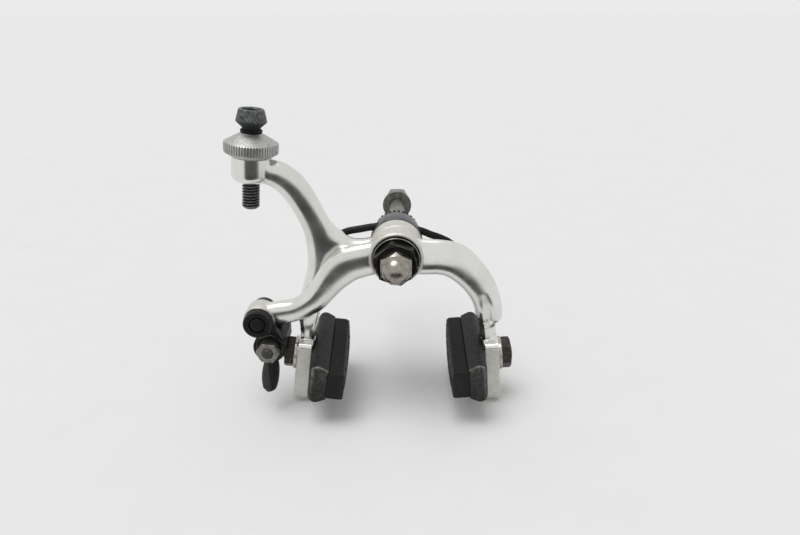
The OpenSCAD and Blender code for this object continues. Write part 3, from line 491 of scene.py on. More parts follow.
class Finish:
    """A principled material whose patterns read Object coordinates in metres."""

    def __init__(self, name, color, rough, metal=0.0):
        self.material = bpy.data.materials.new(name)
        self.material.use_nodes = True
        self.nodes = self.material.node_tree.nodes
        self.links = self.material.node_tree.links
        self.shader = self.nodes["Principled BSDF"]
        self.place = self.nodes.new("ShaderNodeTexCoord").outputs["Object"]
        self.set("Base Color", (*color, 1))
        self.set("Roughness", rough)
        self.set("Metallic", metal)

    def set(self, key, value):
        """A constant, directly on the shader's own socket."""
        self.shader.inputs[key].default_value = value

    def link(self, key, value):
        """A pattern on one of the shader's sockets."""
        self.links.new(value, self.shader.inputs[key])

    def noise(self, scale, detail=4.0, rough=0.6, stretch=(1, 1, 1)):
        """Noise value between 0 and 1, `scale` cells a metre, stretched along the axes."""
        mapping = self.nodes.new("ShaderNodeMapping")
        mapping.inputs["Scale"].default_value = stretch
        self.links.new(self.place, mapping.inputs["Vector"])
        node = self.nodes.new("ShaderNodeTexNoise")
        for key, value in (("Scale", scale), ("Detail", detail), ("Roughness", rough)):
            node.inputs[key].default_value = value
        self.links.new(mapping.outputs["Vector"], node.inputs["Vector"])
        return node.outputs["Fac"]

    def spots(self, per_metre):
        """Distance to the nearest of the scattered centres, in their mean spacing."""
        node = self.nodes.new("ShaderNodeTexVoronoi")
        node.inputs["Scale"].default_value = per_metre
        self.links.new(self.place, node.inputs["Vector"])
        return node.outputs["Distance"]

    def attribute(self, name):
        """A value that the mesh carries at its points."""
        node = self.nodes.new("ShaderNodeAttribute")
        node.attribute_name = name
        return node.outputs["Fac"]

    def beyond(self, axis, place_mm, soft_mm):
        """0 before a place along an axis, rising to 1 over `soft_mm` after it."""
        node = self.nodes.new("ShaderNodeSeparateXYZ")
        self.links.new(self.place, node.inputs[0])
        shifted = self.math("MULTIPLY_ADD", node.outputs[axis], 1 / (soft_mm * MM), -place_mm / soft_mm)
        return self.ramp(shifted, [(0.0, 0.0), (1.0, 1.0)])

    def ramp(self, value, stops):
        """Colour ramp over a value; stops are (position, colour or grey)."""
        node = self.nodes.new("ShaderNodeValToRGB")
        self.links.new(value, node.inputs["Fac"])
        elements = node.color_ramp.elements
        while len(elements) < len(stops):
            elements.new(0.5)
        for element, (position, color) in zip(elements, stops):
            element.position = position
            element.color = (*color, 1) if isinstance(color, tuple) else (color, color, color, 1)
        return node.outputs["Color"]

    def math(self, operation, *values):
        """A Math node over patterns and numbers."""
        node = self.nodes.new("ShaderNodeMath")
        node.operation = operation
        for socket, value in zip(node.inputs, values):
            if isinstance(value, (int, float)):
                socket.default_value = value
            else:
                self.links.new(value, socket)
        return node.outputs[0]

    def blend(self, amount, base, tint):
        """The base turned towards one colour by a pattern's amount."""
        node = self.nodes.new("ShaderNodeMix")
        node.data_type = "RGBA"
        self.links.new(amount, node.inputs[0])
        self.links.new(base, node.inputs[6])
        node.inputs[7].default_value = (*tint, 1)
        return node.outputs[2]

    def multiply(self, a, b):
        """Product of two coloured patterns."""
        node = self.nodes.new("ShaderNodeMix")
        node.data_type, node.blend_type = "RGBA", "MULTIPLY"
        node.inputs[0].default_value = 1
        self.links.new(a, node.inputs[6])
        self.links.new(b, node.inputs[7])
        return node.outputs[2]

    def bump(self, height, distance_mm, strength):
        """Fine relief, on top of any bump that is there."""
        node = self.nodes.new("ShaderNodeBump")
        node.inputs["Strength"].default_value = strength
        node.inputs["Distance"].default_value = distance_mm * MM
        self.links.new(height, node.inputs["Height"])
        last = self.shader.inputs["Normal"]
        if last.is_linked:
            self.links.new(last.links[0].from_socket, node.inputs["Normal"])
        self.links.new(node.outputs["Normal"], last)


def polished_alloy():
    """Hand-polished aluminium: a soft mirror with a faint haze, a few hairline scratches and a few dark pits."""
    f = Finish("polished_alloy", (0.80, 0.795, 0.765), 0.28, 1.0)
    haze = f.noise(90, 4, 0.55)
    tint = f.ramp(haze, [(0.35, (0.72, 0.712, 0.675)), (0.65, (0.80, 0.80, 0.775))])
    scratches = f.ramp(f.noise(420, 3, 0.5, (6, 0.35, 0.35)), [(0.66, 1.0), (0.685, 0.86), (0.71, 1.0)])
    pits = f.ramp(f.spots(240), [(0.028, 0.45), (0.05, 1.0)])
    f.link("Base Color", f.multiply(f.multiply(tint, pits), scratches))
    f.link("Roughness", f.ramp(f.noise(160, 5, 0.6), [(0.3, 0.2), (0.7, 0.28)]))
    f.bump(f.noise(110, 2, 0.4), 0.02, 0.25)
    f.bump(f.noise(2200, 2, 0.5), 0.0016, 0.35)
    return f.material


def satin_alloy():
    """Machined or tumbled aluminium: pale, matt and slightly warm, with small dark nicks."""
    f = Finish("satin_alloy", (0.66, 0.65, 0.60), 0.5, 0.55)
    base = f.ramp(f.noise(500, 6, 0.65), [(0.3, (0.60, 0.59, 0.54)), (0.7, (0.72, 0.71, 0.665))])
    nicks = f.ramp(f.spots(450), [(0.05, 0.45), (0.1, 1.0)])
    f.link("Base Color", f.multiply(base, nicks))
    f.link("Roughness", f.ramp(f.noise(900, 4, 0.6), [(0.3, 0.42), (0.7, 0.6)]))
    f.bump(f.noise(4200, 4, 0.6), 0.008, 0.5)
    return f.material


def worn(name, color, rough, metal, speck=0.3, scale=900, bump_mm=0.01, dust=None, spots=None, painted_lit_side=None,
         scuff=None, shine=0.5):
    """Worn finish: colour and roughness drift with noise by the share `speck`. Over them lie dust or rust in
    patches, strewn spots, a painted highlight that tints one side of a piece lighter, and the mesh's own scuffs.

    dust and scuff are (amount, colour), spots is (amount, colour, spots a metre), and the painted highlight is two
    places, each (axis, place, softness with the side's sign), and a colour."""
    f = Finish(name, color, rough, metal)
    f.set("Specular IOR Level", shine)
    dark, pale = (tuple(min(1, c * k) for c in color) for k in (1 - speck, 1 + speck))
    base = f.ramp(f.noise(scale, 6, 0.65), [(0.3, dark), (0.7, pale)])
    if dust:
        amount, tint = dust
        base = f.blend(f.ramp(f.noise(scale * 0.45, 8, 0.7), [(0.5, 0.0), (0.72, amount)]), base, tint)
    if spots:
        amount, tint, per_metre = spots
        patchy = f.ramp(f.noise(per_metre * 0.35, 3, 0.6), [(0.42, 0.0), (0.55, amount)])
        round_spots = f.ramp(f.spots(per_metre), [(0.13, 1.0), (0.22, 0.0)])
        base = f.blend(f.math("MULTIPLY", patchy, round_spots), base, tint)
    # painted highlight: the part beyond both places is tinted lighter, standing in for light falling on that side
    if painted_lit_side:
        first, second, tint = painted_lit_side
        both = f.math("MULTIPLY", f.beyond(*first), f.beyond(*second))
        uneven = f.ramp(f.noise(scale, 5, 0.7), [(0.3, 0.6), (0.7, 1.0)])
        base = f.blend(f.math("MULTIPLY", both, uneven), base, tint)
    if scuff:
        amount, tint = scuff
        broken = f.ramp(f.noise(scale * 1.1, 6, 0.75), [(0.4, 0.1), (0.6, amount)])
        base = f.blend(f.math("MULTIPLY", f.attribute("scuff"), broken), base, tint)
    f.link("Base Color", base)
    smooth, matt = max(0.05, rough - 0.1), min(1, rough + 0.12)
    f.link("Roughness", f.ramp(f.noise(scale * 1.4, 4, 0.6), [(0.3, smooth), (0.7, matt)]))
    f.bump(f.noise(scale * 3, 4, 0.6), bump_mm, 0.5)
    return f.material


BLACK_DUST = (0.022, 0.022, 0.021)
WORN = {
    "dull_alloy": dict(
        color=(0.48, 0.48, 0.46), rough=0.42, metal=0.9, speck=0.2, scale=1500, bump_mm=0.03,
        dust=(0.4, (0.2, 0.2, 0.19)), spots=(0.9, (0.07, 0.07, 0.065), 800),
    ),
    "bright_steel": dict(
        color=(0.50, 0.48, 0.44), rough=0.26, metal=1.0, speck=0.2, scale=700, dust=(0.7, (0.25, 0.19, 0.15)),
    ),
    "dull_steel": dict(
        color=(0.25, 0.25, 0.225), rough=0.4, metal=1.0, scale=600, bump_mm=0.02, dust=(0.6, (0.12, 0.10, 0.075)),
    ),
    "grey_steel": dict(
        color=(0.14, 0.14, 0.152), rough=0.38, metal=1.0, scale=700, bump_mm=0.015, dust=(0.4, (0.08, 0.075, 0.07)),
    ),
    "black_steel": dict(
        color=(0.007, 0.0065, 0.006), rough=0.34, metal=0.0, scale=800, bump_mm=0.008,
        dust=(0.35, (0.026, 0.023, 0.019)), shine=0.18,
    ),
    "black_plastic": dict(
        color=(0.007, 0.007, 0.0068), rough=0.38, metal=0.0, dust=(0.3, BLACK_DUST), shine=0.2,
    ),
    "dark_alloy": dict(
        color=(0.026, 0.032, 0.030), rough=0.45, metal=0.4, speck=0.35, bump_mm=0.012,
        dust=(0.35, (0.08, 0.09, 0.087)), scuff=(1.0, (0.33, 0.345, 0.335)), shine=0.25,
    ),
    "holder_rubber": dict(
        color=(0.012, 0.0125, 0.0118), rough=0.5, metal=0.0, speck=0.25, scale=600, bump_mm=0.02,
        dust=(0.3, (0.026, 0.027, 0.025)), scuff=(1.0, (0.3, 0.3, 0.28)), shine=0.2,
    ),
    "pad_rubber": dict(
        color=(0.0095, 0.0098, 0.0092), rough=0.62, metal=0.0, scale=1100, bump_mm=0.03,
        dust=(0.35, (0.022, 0.022, 0.02)), scuff=(0.8, (0.12, 0.12, 0.11)), shine=0.16,
    ),
    "ring_rubber": dict(color=(0.006, 0.006, 0.006), rough=0.5, metal=0.0, scale=1500, shine=0.2),
    "rusty_steel": dict(
        color=(0.05, 0.048, 0.044), rough=0.42, metal=0.75, speck=0.45, scale=420, bump_mm=0.05,
        dust=(0.55, (0.09, 0.046, 0.032)), spots=(0.9, (0.36, 0.32, 0.2), 1100), shine=0.3,
    ),
    "worn_chrome": dict(
        color=(0.34, 0.315, 0.28), rough=0.28, metal=1.0, speck=0.22, scale=520, bump_mm=0.012,
        dust=(0.75, (0.16, 0.125, 0.095)), spots=(0.8, (0.1, 0.085, 0.07), 1300),
    ),
    "worn_nut": dict(
        color=(0.25, 0.24, 0.22), rough=0.34, metal=1.0, speck=0.4, bump_mm=0.02,
        dust=(0.8, (0.07, 0.06, 0.05)), spots=(0.9, (0.03, 0.026, 0.022), 1500),
    ),
    "stud_end": dict(color=(0.07, 0.07, 0.069), rough=0.5, metal=0.8, speck=0.25, bump_mm=0.02),
    "seat_black": dict(color=(0.006, 0.006, 0.006), rough=0.7, metal=0.0, shine=0.05),
    "lever_black": dict(
        color=(0.007, 0.007, 0.0068), rough=0.38, metal=0.0, dust=(0.3, BLACK_DUST), shine=0.2,
        # painted highlight: the thumb tab's left part is tinted lighter, where its facets catch the light
        painted_lit_side=(("X", -44.6, -0.7), ("Z", -35.8, -0.8), (0.055, 0.055, 0.052)),
    ),
    # pale grey of the edge rings: wear, and on the lock nut's chamfer also a painted highlight
    "edge_wear_and_highlight": dict(
        color=(0.13, 0.125, 0.115), rough=0.4, metal=0.6, speck=0.5, scale=500, dust=(0.9, (0.018, 0.017, 0.015)),
        shine=0.3,
    ),
}
FINISHES = {name: worn(name, **look) for name, look in WORN.items()}
FINISHES["polished_alloy"] = polished_alloy()
FINISHES["satin_alloy"] = satin_alloy()

# nodes that look different from the finish of their material slot
OWN_FINISH = {
    "right_shoe_nut": "rusty_steel", "left_shoe_nut": "rusty_steel", "anchor_nut": "worn_nut",
    "acorn_nut": "worn_chrome", "anchor_bolt": "stud_end", "right_stud": "stud_end", "left_stud": "stud_end",
    "front_washer": "black_steel", "anchor_washer": "black_steel", "release_lever": "lever_black",
    "seat_washer": "seat_black",
}
for entry in frame["record"]["subparts"]:
    for slot in NODES[entry["node"]].material_slots:
        slot.material = FINISHES[OWN_FINISH.get(entry["node"], entry["material_slot"])]


def dress(obj, finish):
    """Gives the whole piece one finish."""
    obj.data.materials.clear()
    obj.data.materials.append(FINISHES[finish])


def stands_for(obj, node, body, slot):
    """Puts a finished piece in its node's place."""
    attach(obj, body)
    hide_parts(node)


BOSS_FACE = (0, 0, BOSS_R + 0.08)
front_arm = make_front_arm()
mark_satin(front_arm, [BOSS_FACE, (-ANCHOR[0], -ANCHOR[1], ANCHOR_EYE_R + 0.06)])
rear_arm = make_rear_arm()
mark_satin(rear_arm, [BOSS_FACE])
stands_for(front_arm, "front_arm", "front_arm", "polished_alloy")
stands_for(rear_arm, "rear_arm", "rear_arm", "polished_alloy")


# ---------------------------------------------------------------- small pieces

def threaded_screw():
    """Adjuster screw: a closed profile swept round the axis, its shank's radius falling in a triangle wave of the
    height less the turn, which is a right-handed thread of 1 mm pitch. Rows are [radius, height, thread depth]."""
    around, r, root, pitch = 60, 2.95, 0.6, 1.0
    foot, neck, shoulder, rim, pocket_floor = -13.45, 13.2, 15.6, 19.5, 13.8
    bore, pocket = 1.0, 2.7
    shank = np.arange(foot + 0.7, neck - 0.6, pitch / 12)
    fade = np.clip((shank - foot - 0.5) / 0.7, 0, 1) * np.clip((neck - 0.8 - shank) / 1.0, 0, 1)
    below = [[bore, foot, 0], [r - 0.75, foot, 0], [r - 0.6, foot + 0.12, 0]]
    above = [
        [r, neck - 0.4, 0], [r, neck, 0], [r + 0.12, neck + 0.4, 0], [4.85, shoulder - 0.35, 0],
        [5.0, shoulder - 0.15, 0], [5.0, shoulder + 0.25, 0], [4.92, shoulder + 0.45, 0], [4.25, rim - 0.6, 0],
        [4.1, rim - 0.25, 0],
        [3.9, rim - 0.05, 0], [3.75, rim, 0], [3.4, rim, 0], [3.2, rim - 0.1, 0], [pocket, rim - 0.6, 0],
        [pocket, pocket_floor, 0], [bore, pocket_floor, 0],
    ]
    rows = np.vstack([below, np.stack([np.full_like(shank, r), shank, fade], 1), above])
    angle = 2 * np.pi * np.arange(around) / around
    wave = np.abs(2 * np.mod(rows[:, 1:2] / pitch - angle[None, :] / (2 * np.pi), 1) - 1)
    radius = rows[:, :1] - root * rows[:, 2:3] * np.clip(wave * 1.3 - 0.2, 0, 1)
    points = np.stack([radius * np.cos(angle), radius * np.sin(angle), rows[:, 1:2] + 0 * angle], -1).reshape(-1, 3)
    return adjuster_place((points, grid_faces(len(rows), around, ring_loop=True)))


def crest_wear(points):
    """Wear on the thread's crests and on the head's upper rim, none in the hollows, and the head above its shoulder
    made lighter, from each point's radius and height.
    """
    x, y, z = points.T
    lean = np.radians(ADJUSTER_LEAN)
    x, z = x + ADJUSTER[0], z - ADJUSTER[1]
    out, up = x * np.cos(lean) - z * np.sin(lean), x * np.sin(lean) + z * np.cos(lean)
    r = np.hypot(out, y - REAR_MID)
    crest = np.clip((r - 2.66) / 0.2, 0, 1) * (r < 3.1) * (up < 12.5)
    # the head above its shoulder is made lighter
    band = 0.4 * np.clip((up - 15.4) / 0.3, 0, 1) * (r > 3)
    return np.maximum(np.maximum(crest * 0.75, band), 0.6 * np.clip((up - 19.1) / 0.3, 0, 1))


def loop(outline, radius, y, around=16, count=144):
    """Thin ring: a circle of the radius carried along a closed outline of [x, z] in the plane at y."""
    line = evened(np.array(outline), count)
    heading = np.roll(line, -1, 0) - np.roll(line, 1, 0)
    heading /= np.linalg.norm(heading, axis=1, keepdims=True)
    angle = 2 * np.pi * np.arange(around) / around
    across = radius * np.cos(angle)[None, :]
    points = np.stack([
        line[:, :1] - heading[:, 1:] * across,
        y + radius * np.sin(angle)[None, :] + 0 * line[:, :1],
        line[:, 1:] + heading[:, :1] * across,
    ], -1).reshape(-1, 3)
    return points, grid_faces(count, around, ring_loop=True)


def circle(r, x=0.0, z=0.0, sides=96, turn=0.0):
    """Outline of a circle, or of a regular polygon with few sides."""
    angle = 2 * np.pi * np.arange(sides) / sides + np.radians(turn)
    return np.stack([x + r * np.cos(angle), z + r * np.sin(angle)], 1)


def wire(line, radius, y, around=28):
    """Round wire: circles square to a smooth path of [x, z] points in the plane at y, drawn in to round tips."""
    line = catmull(line, 10)
    heading = np.gradient(line, axis=0)
    heading /= np.linalg.norm(heading, axis=1, keepdims=True)
    reach = np.concatenate([[0], np.cumsum(np.linalg.norm(np.diff(line, axis=0), axis=1))])
    from_end = np.minimum(reach, reach[-1] - reach)
    size = radius * np.sqrt(np.clip(1 - np.clip(1 - from_end / (radius * 0.5), 0, 1) ** 2, 0.25, 1))
    angle = 2 * np.pi * np.arange(around) / around
    across = size[:, None] * np.cos(angle)
    points = np.stack([
        line[:, :1] - heading[:, 1:] * across,
        y + size[:, None] * np.sin(angle),
        line[:, 1:] + heading[:, :1] * across,
    ], -1).reshape(-1, 3)
    return points, grid_faces(len(line), around)


def spring_path():
    """Path of the return spring's wire: through the block above the bolt, then down behind each arm."""
    top = 3 + 1.1 * 2 * WIRE_R
    left = np.array([[0.415, 0.053], [0.559, 0.084], [0.681, 0.154], [0.773, 0.288], [0.821, 0.456], [0.837, 0.667]])
    right = np.array([[0.372, 0.123], [0.48, 0.168], [0.588, 0.232], [0.687, 0.344], [0.749, 0.491], [0.771, 0.684]])
    left = np.stack([-left[:, 0] * LEFT_REACH, top - left[:, 1] * NECK_DROP], 1)
    right = np.stack([right[:, 0] * RIGHT_REACH, top - right[:, 1] * NECK_DROP], 1)
    return np.vstack([left[::-1], [[-8.5, top - 0.71]], [[0, top]], [[8.5, top - 2.11]], right])


def knurled_nut():
    """Adjuster nut: at each turn and height the radius is the smaller of the turned profile's, which is a band under
    a cone, and the flutes', a row of 60 grooves, so that the grooves' ends scallop the cone's foot."""
    flutes, fine, r, deep, seat, bore, top_r = 60, 16, 8.85, 0.42, 4.45, 3.0, 3.5
    heights = np.concatenate([
        np.linspace(0, 1.3, 8), np.linspace(1.5, 4.0, 6), np.linspace(4.2, 7.2, 26), [7.35, 7.4],
    ])
    shape = np.interp(heights, [0, 0.2, 1.2, 4.2, 4.5, 7.2, 7.4], [7.0, 7.3, r, r, r - 0.35, top_r + 0.25, top_r])
    angle = 2 * np.pi * np.arange(flutes * fine) / (flutes * fine)
    groove = deep * np.clip(1.5 * np.cos(angle * flutes) - 0.35, 0, 1)
    outer = np.minimum(shape[:, None], r - groove[None, :])
    inner = np.full((2, len(angle)), bore)
    radius = np.vstack([inner[:1], outer, inner[1:]])
    up = np.concatenate([[0.0], heights, [7.4]])[:, None] + seat + 0 * radius
    points = np.stack([radius * np.cos(angle), radius * np.sin(angle), up], -1).reshape(-1, 3)
    return adjuster_place((points, grid_faces(len(radius), len(angle), ring_loop=True)))


def neck_ring():
    """Sealing ring squeezed under the screw's neck: a circle of 0.6 mm swept round the axis."""
    angle = np.radians(np.arange(0, 360, 20))
    around = np.radians(np.arange(0, 360, 5))
    radius, up = 3.1 + 0.5 * np.cos(angle), 12.45 + 0.62 * np.sin(angle)
    points = np.stack([
        radius[:, None] * np.cos(around), radius[:, None] * np.sin(around), up[:, None] + 0 * around[None, :],
    ], -1).reshape(-1, 3)
    return adjuster_place((points, grid_faces(len(angle), len(around), ring_loop=True)))


for name, shape, smooth, finish, node, body in (
    ("adjuster_nut_knurl", knurled_nut(), 28, "dull_alloy", "adjuster_nut", "adjuster_nut"),
    ("adjuster_neck_ring", neck_ring(), 60, "ring_rubber", "adjuster_ring", "adjuster_nut"),
    ("adjuster_screw_thread", threaded_screw(), 40, "dark_alloy", "adjuster_screw", "adjuster_screw"),
    ("return_spring_wire", wire(spring_path(), WIRE_R, SPRING_MID), 60, "black_steel", "return_spring", "pivot"),
):
    part = piece(name, shape, smooth)
    dress(part, finish)
    stands_for(part, node, body, finish)
    if node == "adjuster_screw":
        scuffed(part, crest_wear(shape[0]))


# ---------------------------------------------------------------- shoes

def shoe_place(shape, plate):
    """Puts a shape given in the shoe's frame (origin at the stud, +X away from the rim) onto its plate."""
    points, faces = shape
    return plate_place((points - np.array([0, 0, SHOE["drop"]]), faces), plate)


def rounded(outline, radius, around=5):
    """Closed outline with each corner replaced by a quadratic curve that starts and ends `radius` from it."""
    here = np.array(outline, float)
    before, after = np.roll(here, 1, 0) - here, np.roll(here, -1, 0) - here
    reach_in, reach_out = np.linalg.norm(before, axis=1), np.linalg.norm(after, axis=1)
    radius = np.broadcast_to(radius, len(here))
    start = here + before / reach_in[:, None] * np.minimum(radius, reach_in * 0.45)[:, None]
    end = here + after / reach_out[:, None] * np.minimum(radius, reach_out * 0.45)[:, None]
    t = np.linspace(0, 1, around)[None, :, None]
    curve = start[:, None] * (1 - t) ** 2 + 2 * here[:, None] * t * (1 - t) + end[:, None] * t ** 2
    return curve.reshape(-1, 2)


def evened(outline, count):
    """Closed outline with `count` points at even steps of its length, so that corners and flats share one grid."""
    ring = np.vstack([outline, outline[:1]])
    reach = np.concatenate([[0], np.cumsum(np.linalg.norm(np.diff(ring, axis=0), axis=1))])
    at = np.linspace(0, reach[-1], count, endpoint=False)
    return np.stack([np.interp(at, reach, ring[:, 0]), np.interp(at, reach, ring[:, 1])], 1)


def bar_along(section, half_length, end_round, limit=None, count=160, stations=90):
    """Section of [x, z] swept along Y. Both ends draw in by a quarter circle of `end_round`, and `limit`, a function
    of the station, pulls points back to the largest or smallest x allowed there."""
    ring = evened(section, count)
    middle = (ring.min(0) + ring.max(0)) / 2
    half = (ring.max(0) - ring.min(0)) / 2
    y = -half_length * np.cos(np.linspace(0, np.pi, stations))
    near = np.clip((np.abs(y) - half_length + end_round) / end_round, 0, 1)
    drawn = end_round * (1 - np.sqrt(1 - near ** 2))
    scale = 1 - drawn[:, None] / half[None, :]
    xz = middle + (ring[None] - middle) * scale[:, None, :]
    if limit:
        xz[..., 0] = limit(xz[..., 0], y[:, None], xz[..., 1])
    points = np.stack([xz[..., 0], np.broadcast_to(y[:, None], xz.shape[:2]), xz[..., 1]], -1).reshape(-1, 3)
    return points, grid_faces(stations, count)


def shoe_holder():
    """Holder: a trapezium section, tall at the back and low at the mouth, the mouth's edges turned in as a lip."""
    back, mouth, h, b = SHOE["back"], SHOE["mouth"], SHOE["holder_h"] / 2, SHOE["block_h"] / 2
    section = rounded([
        [mouth + 0.5, -b + 0.15], [mouth, -b - 0.25], [mouth + 1.3, -b - 0.95], [back - 2.6, -h], [back, -h + 1.6],
        [back, h - 1.6], [back - 2.6, h], [mouth + 1.3, b + 0.95], [mouth, b + 0.25], [mouth + 0.5, b - 0.15],
    ], [0.2, 0.3, 0.7, 1.6, 1.3, 1.3, 1.6, 0.7, 0.3, 0.2])
    half, turn = SHOE["length"] / 2, SHOE["end_round"]

    def limit(x, y, z):
        near = np.clip((np.abs(y) - half + turn * 1.5) / (turn * 1.5), 0, 1)
        return np.minimum(x, back - turn * 0.9 * (1 - np.sqrt(1 - near ** 2)) + 0 * z)

    return bar_along(section, half, 0.55, limit)


def shoe_block():
    """Friction block: its face is hollowed along the rim, worn to shallow scallops, with five cross grooves."""
    mouth, h = SHOE["mouth"], SHOE["block_h"] / 2
    face = mouth - SHOE["block_out"]
    half = SHOE["length"] / 2
    section = rounded([
        [mouth + 0.45, -h + 0.5], [mouth + 0.45, h - 0.5], [mouth - 0.35, h - 0.12], [face + 0.9, h - 0.15],
        [face - 0.9, h - 1.7], [face - 0.9, -h + 0.9], [face + 0.4, -h + 0.1], [mouth - 0.35, -h + 0.12],
    ], [0.2, 0.2, 0.25, 0.7, 0.5, 0.5, 0.5, 0.25])

    def limit(x, y, z):
        bow = face - 0.95 * (1 - (y / half) ** 2)
        wear = 0.16 * np.abs(np.sin(y * 1.9 + 0.6 * np.sin(y * 0.7))) + 0.08 * np.sin(y * 5.3 + z * 1.1)
        near = np.clip((h - 1.2 - np.abs(z)) / 1.2, 0, 1)
        grooves = sum(np.exp(-((y - k * half) / 0.42) ** 4) for k in (-0.72, -0.36, 0.0, 0.36, 0.72))
        return np.maximum(x, bow + 0.05 + wear * (0.35 + 0.65 * near) + 0.85 * grooves)

    return bar_along(section, half - 0.15, 0.4, limit, 200, 320)


def holder_scuffs(points):
    """Wear along the holder's front edge, strongest on its upper part, and fainter over its front end."""
    y, z = points[:, 1] + SHOE["length"] / 2, points[:, 2]
    edge = np.exp(-(((y - 0.45) / 0.4) ** 2)) * np.clip(0.45 + z / SHOE["holder_h"] * 1.1, 0.25, 1)
    return np.maximum(edge, 0.07 * np.exp(-((y / 0.3) ** 2)))


def block_scuffs(points):
    """Wear on the block's braking face, strongest along its upper edge, and a little on its front end."""
    x, y, z = points.T
    face = np.clip((SHOE["mouth"] - SHOE["block_out"] + 0.9 - x) / 0.8, 0, 1)
    upper = np.exp(-(((z - SHOE["block_h"] / 2 + 1.0) / 0.8) ** 2))
    return np.maximum(face * (0.3 + 0.7 * upper), 0.12 * np.exp(-(((y + SHOE["length"] / 2 - 0.3) / 0.3) ** 2)))


for side, plate, body in (("right", RIGHT_PLATE, "front_arm"), ("left", LEFT_PLATE, "rear_arm")):
    for kind, shape, scuffs, finish in (
        ("holder", shoe_holder(), holder_scuffs, "holder_rubber"),
        ("block", shoe_block(), block_scuffs, "pad_rubber"),
    ):
        part = piece(f"{side}_{kind}_moulding", shoe_place(shape, plate), 50)
        scuffed(part, scuffs(shape[0]))
        dress(part, finish)
        stands_for(part, f"{side}_{kind}", body, finish)


# ---------------------------------------------------------------- worn edges, with a painted highlight on the lock nut's chamfer

LOCK_EDGE = rounded(circle(7.1, sides=6, turn=18), 0.9)
LOBE_EDGE = rounded(circle(5.2, *LOBE, sides=6, turn=20), 0.8)
DISC = (-ANCHOR[0], -ANCHOR[1])
for name, body, outline, radius, y, finish in (
    ("front_washer_rim", "pivot", circle(7.68), 0.15, WASHER_FRONT + 0.1, "bright_steel"),
    # pale ring round the lock nut's chamfer: partly wear, partly a painted highlight where the chamfer catches the
    # light
    ("lock_nut_edge_wear_and_highlight", "pivot", LOCK_EDGE, 0.13, LOCK_FRONT + 0.34, "edge_wear_and_highlight"),
    ("lever_disc_edge", "quick_release", circle(4.72, *DISC), 0.09, CHEEK_FRONT + 0.06, "edge_wear_and_highlight"),
    ("lever_disc_rear_edge", "quick_release", circle(4.8, *DISC), 0.1, CHEEK_FRONT + 1.5, "edge_wear_and_highlight"),
    ("lever_lobe_edge", "quick_release", LOBE_EDGE, 0.1, CHEEK_FRONT, "edge_wear_and_highlight"),
):
    ring = piece(name, loop(outline, radius, y), 60)
    dress(ring, finish)
    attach(ring, body)


def soften(node, width_mm):
    """Small rounds on a solid's sharp edges: its triangles are welded, its flat faces joined, its edges bevelled."""
    obj = NODES[node]
    weld = obj.modifiers.new("weld", "WELD")
    weld.merge_threshold = 0.002 * MM
    join = obj.modifiers.new("join", "DECIMATE")
    join.decimate_type = "DISSOLVE"
    join.angle_limit = np.radians(0.8)
    round_off = obj.modifiers.new("round", "BEVEL")
    round_off.width = width_mm * MM
    round_off.segments = 3
    round_off.limit_method = "ANGLE"
    round_off.angle_limit = np.radians(32)
    round_off.harden_normals = True


for node, width in {
    "release_lever": 0.3,
    "lock_nut": 0.25, "acorn_nut": 0.15, "mount_nut": 0.15, "mount_washer": 0.2, "front_washer": 0.15,
    "cover_washer": 0.12, "spring_block": 0.3, "right_shoe_nut": 0.2, "left_shoe_nut": 0.2,
    "right_shoe_washer": 0.2, "left_shoe_washer": 0.2, "anchor_nut": 0.15, "anchor_washer": 0.15,
    "release_washer": 0.12, "release_spindle": 0.15,
}.items():
    soften(node, width)


# ---------------------------------------------------------------- floor, light, camera

def floor_paper(color):
    """Pale paper whose tone drifts very slightly."""
    f = Finish("floor_paper", color, 0.9)
    f.link("Base Color", f.ramp(f.noise(60, 3, 0.5), [(0.3, tuple(c * 0.985 for c in color)), (0.7, color)]))
    return f.material


def staged(name, corners, material):
    """Sheet of the studio, which is no part of the object."""
    obj = piece(name, patch(corners), 0)
    obj.data.materials.append(material)
    return obj


FLOOR_Z = CAD_BOX[0][2] / MM - 1.0
FLOOR_REACH = 20000
staged("floor", [
    (-FLOOR_REACH, -FLOOR_REACH, FLOOR_Z), (FLOOR_REACH, -FLOOR_REACH, FLOOR_Z),
    (FLOOR_REACH, FLOOR_REACH, FLOOR_Z), (-FLOOR_REACH, FLOOR_REACH, FLOOR_Z),
], floor_paper((0.90, 0.90, 0.90)))

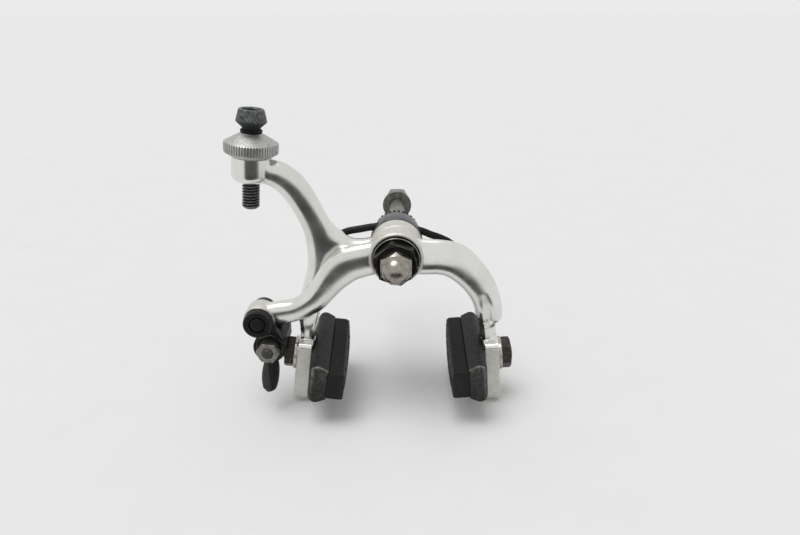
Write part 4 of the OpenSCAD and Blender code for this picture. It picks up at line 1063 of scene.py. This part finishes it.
# black card in front, seen only in the metal's reflections
card = staged("card_front", [
    (-90, -105, FLOOR_Z + 2), (110, -105, FLOOR_Z + 2), (420, -650, FLOOR_Z + 60), (-380, -650, FLOOR_Z + 60),
], Finish("card_black", (0.015, 0.015, 0.015), 1.0).material)
card.visible_camera = card.visible_diffuse = card.visible_shadow = card.visible_transmission = False


def studio_world(level, shown):
    """Plain surroundings: a grey level for their light, and the pale backdrop that eye, metal and glass see."""
    world = bpy.data.worlds.new("studio")
    world.use_nodes = True
    SCENE.world = world
    nodes, links = world.node_tree.nodes, world.node_tree.links
    back = nodes["Background"]
    back.inputs["Color"].default_value = (1, 1, 1, 1)
    path = nodes.new("ShaderNodeLightPath")
    seen = path.outputs["Is Camera Ray"]
    for ray in ("Is Glossy Ray", "Is Transmission Ray"):
        either = nodes.new("ShaderNodeMath")
        either.operation = "MAXIMUM"
        links.new(seen, either.inputs[0])
        links.new(path.outputs[ray], either.inputs[1])
        seen = either.outputs[0]
    mix = nodes.new("ShaderNodeMix")
    mix.data_type = "FLOAT"
    mix.inputs[2].default_value = level
    mix.inputs[3].default_value = shown
    links.new(seen, mix.inputs[0])
    links.new(mix.outputs[0], back.inputs["Strength"])


def soft_sun(name, direction, strength, spread):
    """Broad light without fall-off: a sun of `spread` degrees that stands in the given direction."""
    data = bpy.data.lights.new(name, "SUN")
    data.energy = strength
    data.angle = np.radians(spread)
    obj = bpy.data.objects.new(name, data)
    SCENE.collection.objects.link(obj)
    obj.rotation_euler = (-Vector(direction)).to_track_quat("-Z", "Y").to_euler()


studio_world(level=0.5, shown=0.83)
soft_sun("overhead", direction=(-0.25, -0.10, 1.0), strength=1.3, spread=38)

CAMERA_PLACE, CAMERA_TILT = (0.00126, -0.2186, 0.0770), 67.25
camera_data = bpy.data.cameras.new("camera")
camera_data.lens = 27.9
camera_data.sensor_width = 36
camera_data.clip_start = 0.01
camera = bpy.data.objects.new("camera", camera_data)
camera.location = CAMERA_PLACE
camera.rotation_euler = (np.radians(CAMERA_TILT), 0, 0)
SCENE.collection.objects.link(camera)
SCENE.camera = camera
SCENE.view_settings.view_transform = "Standard"
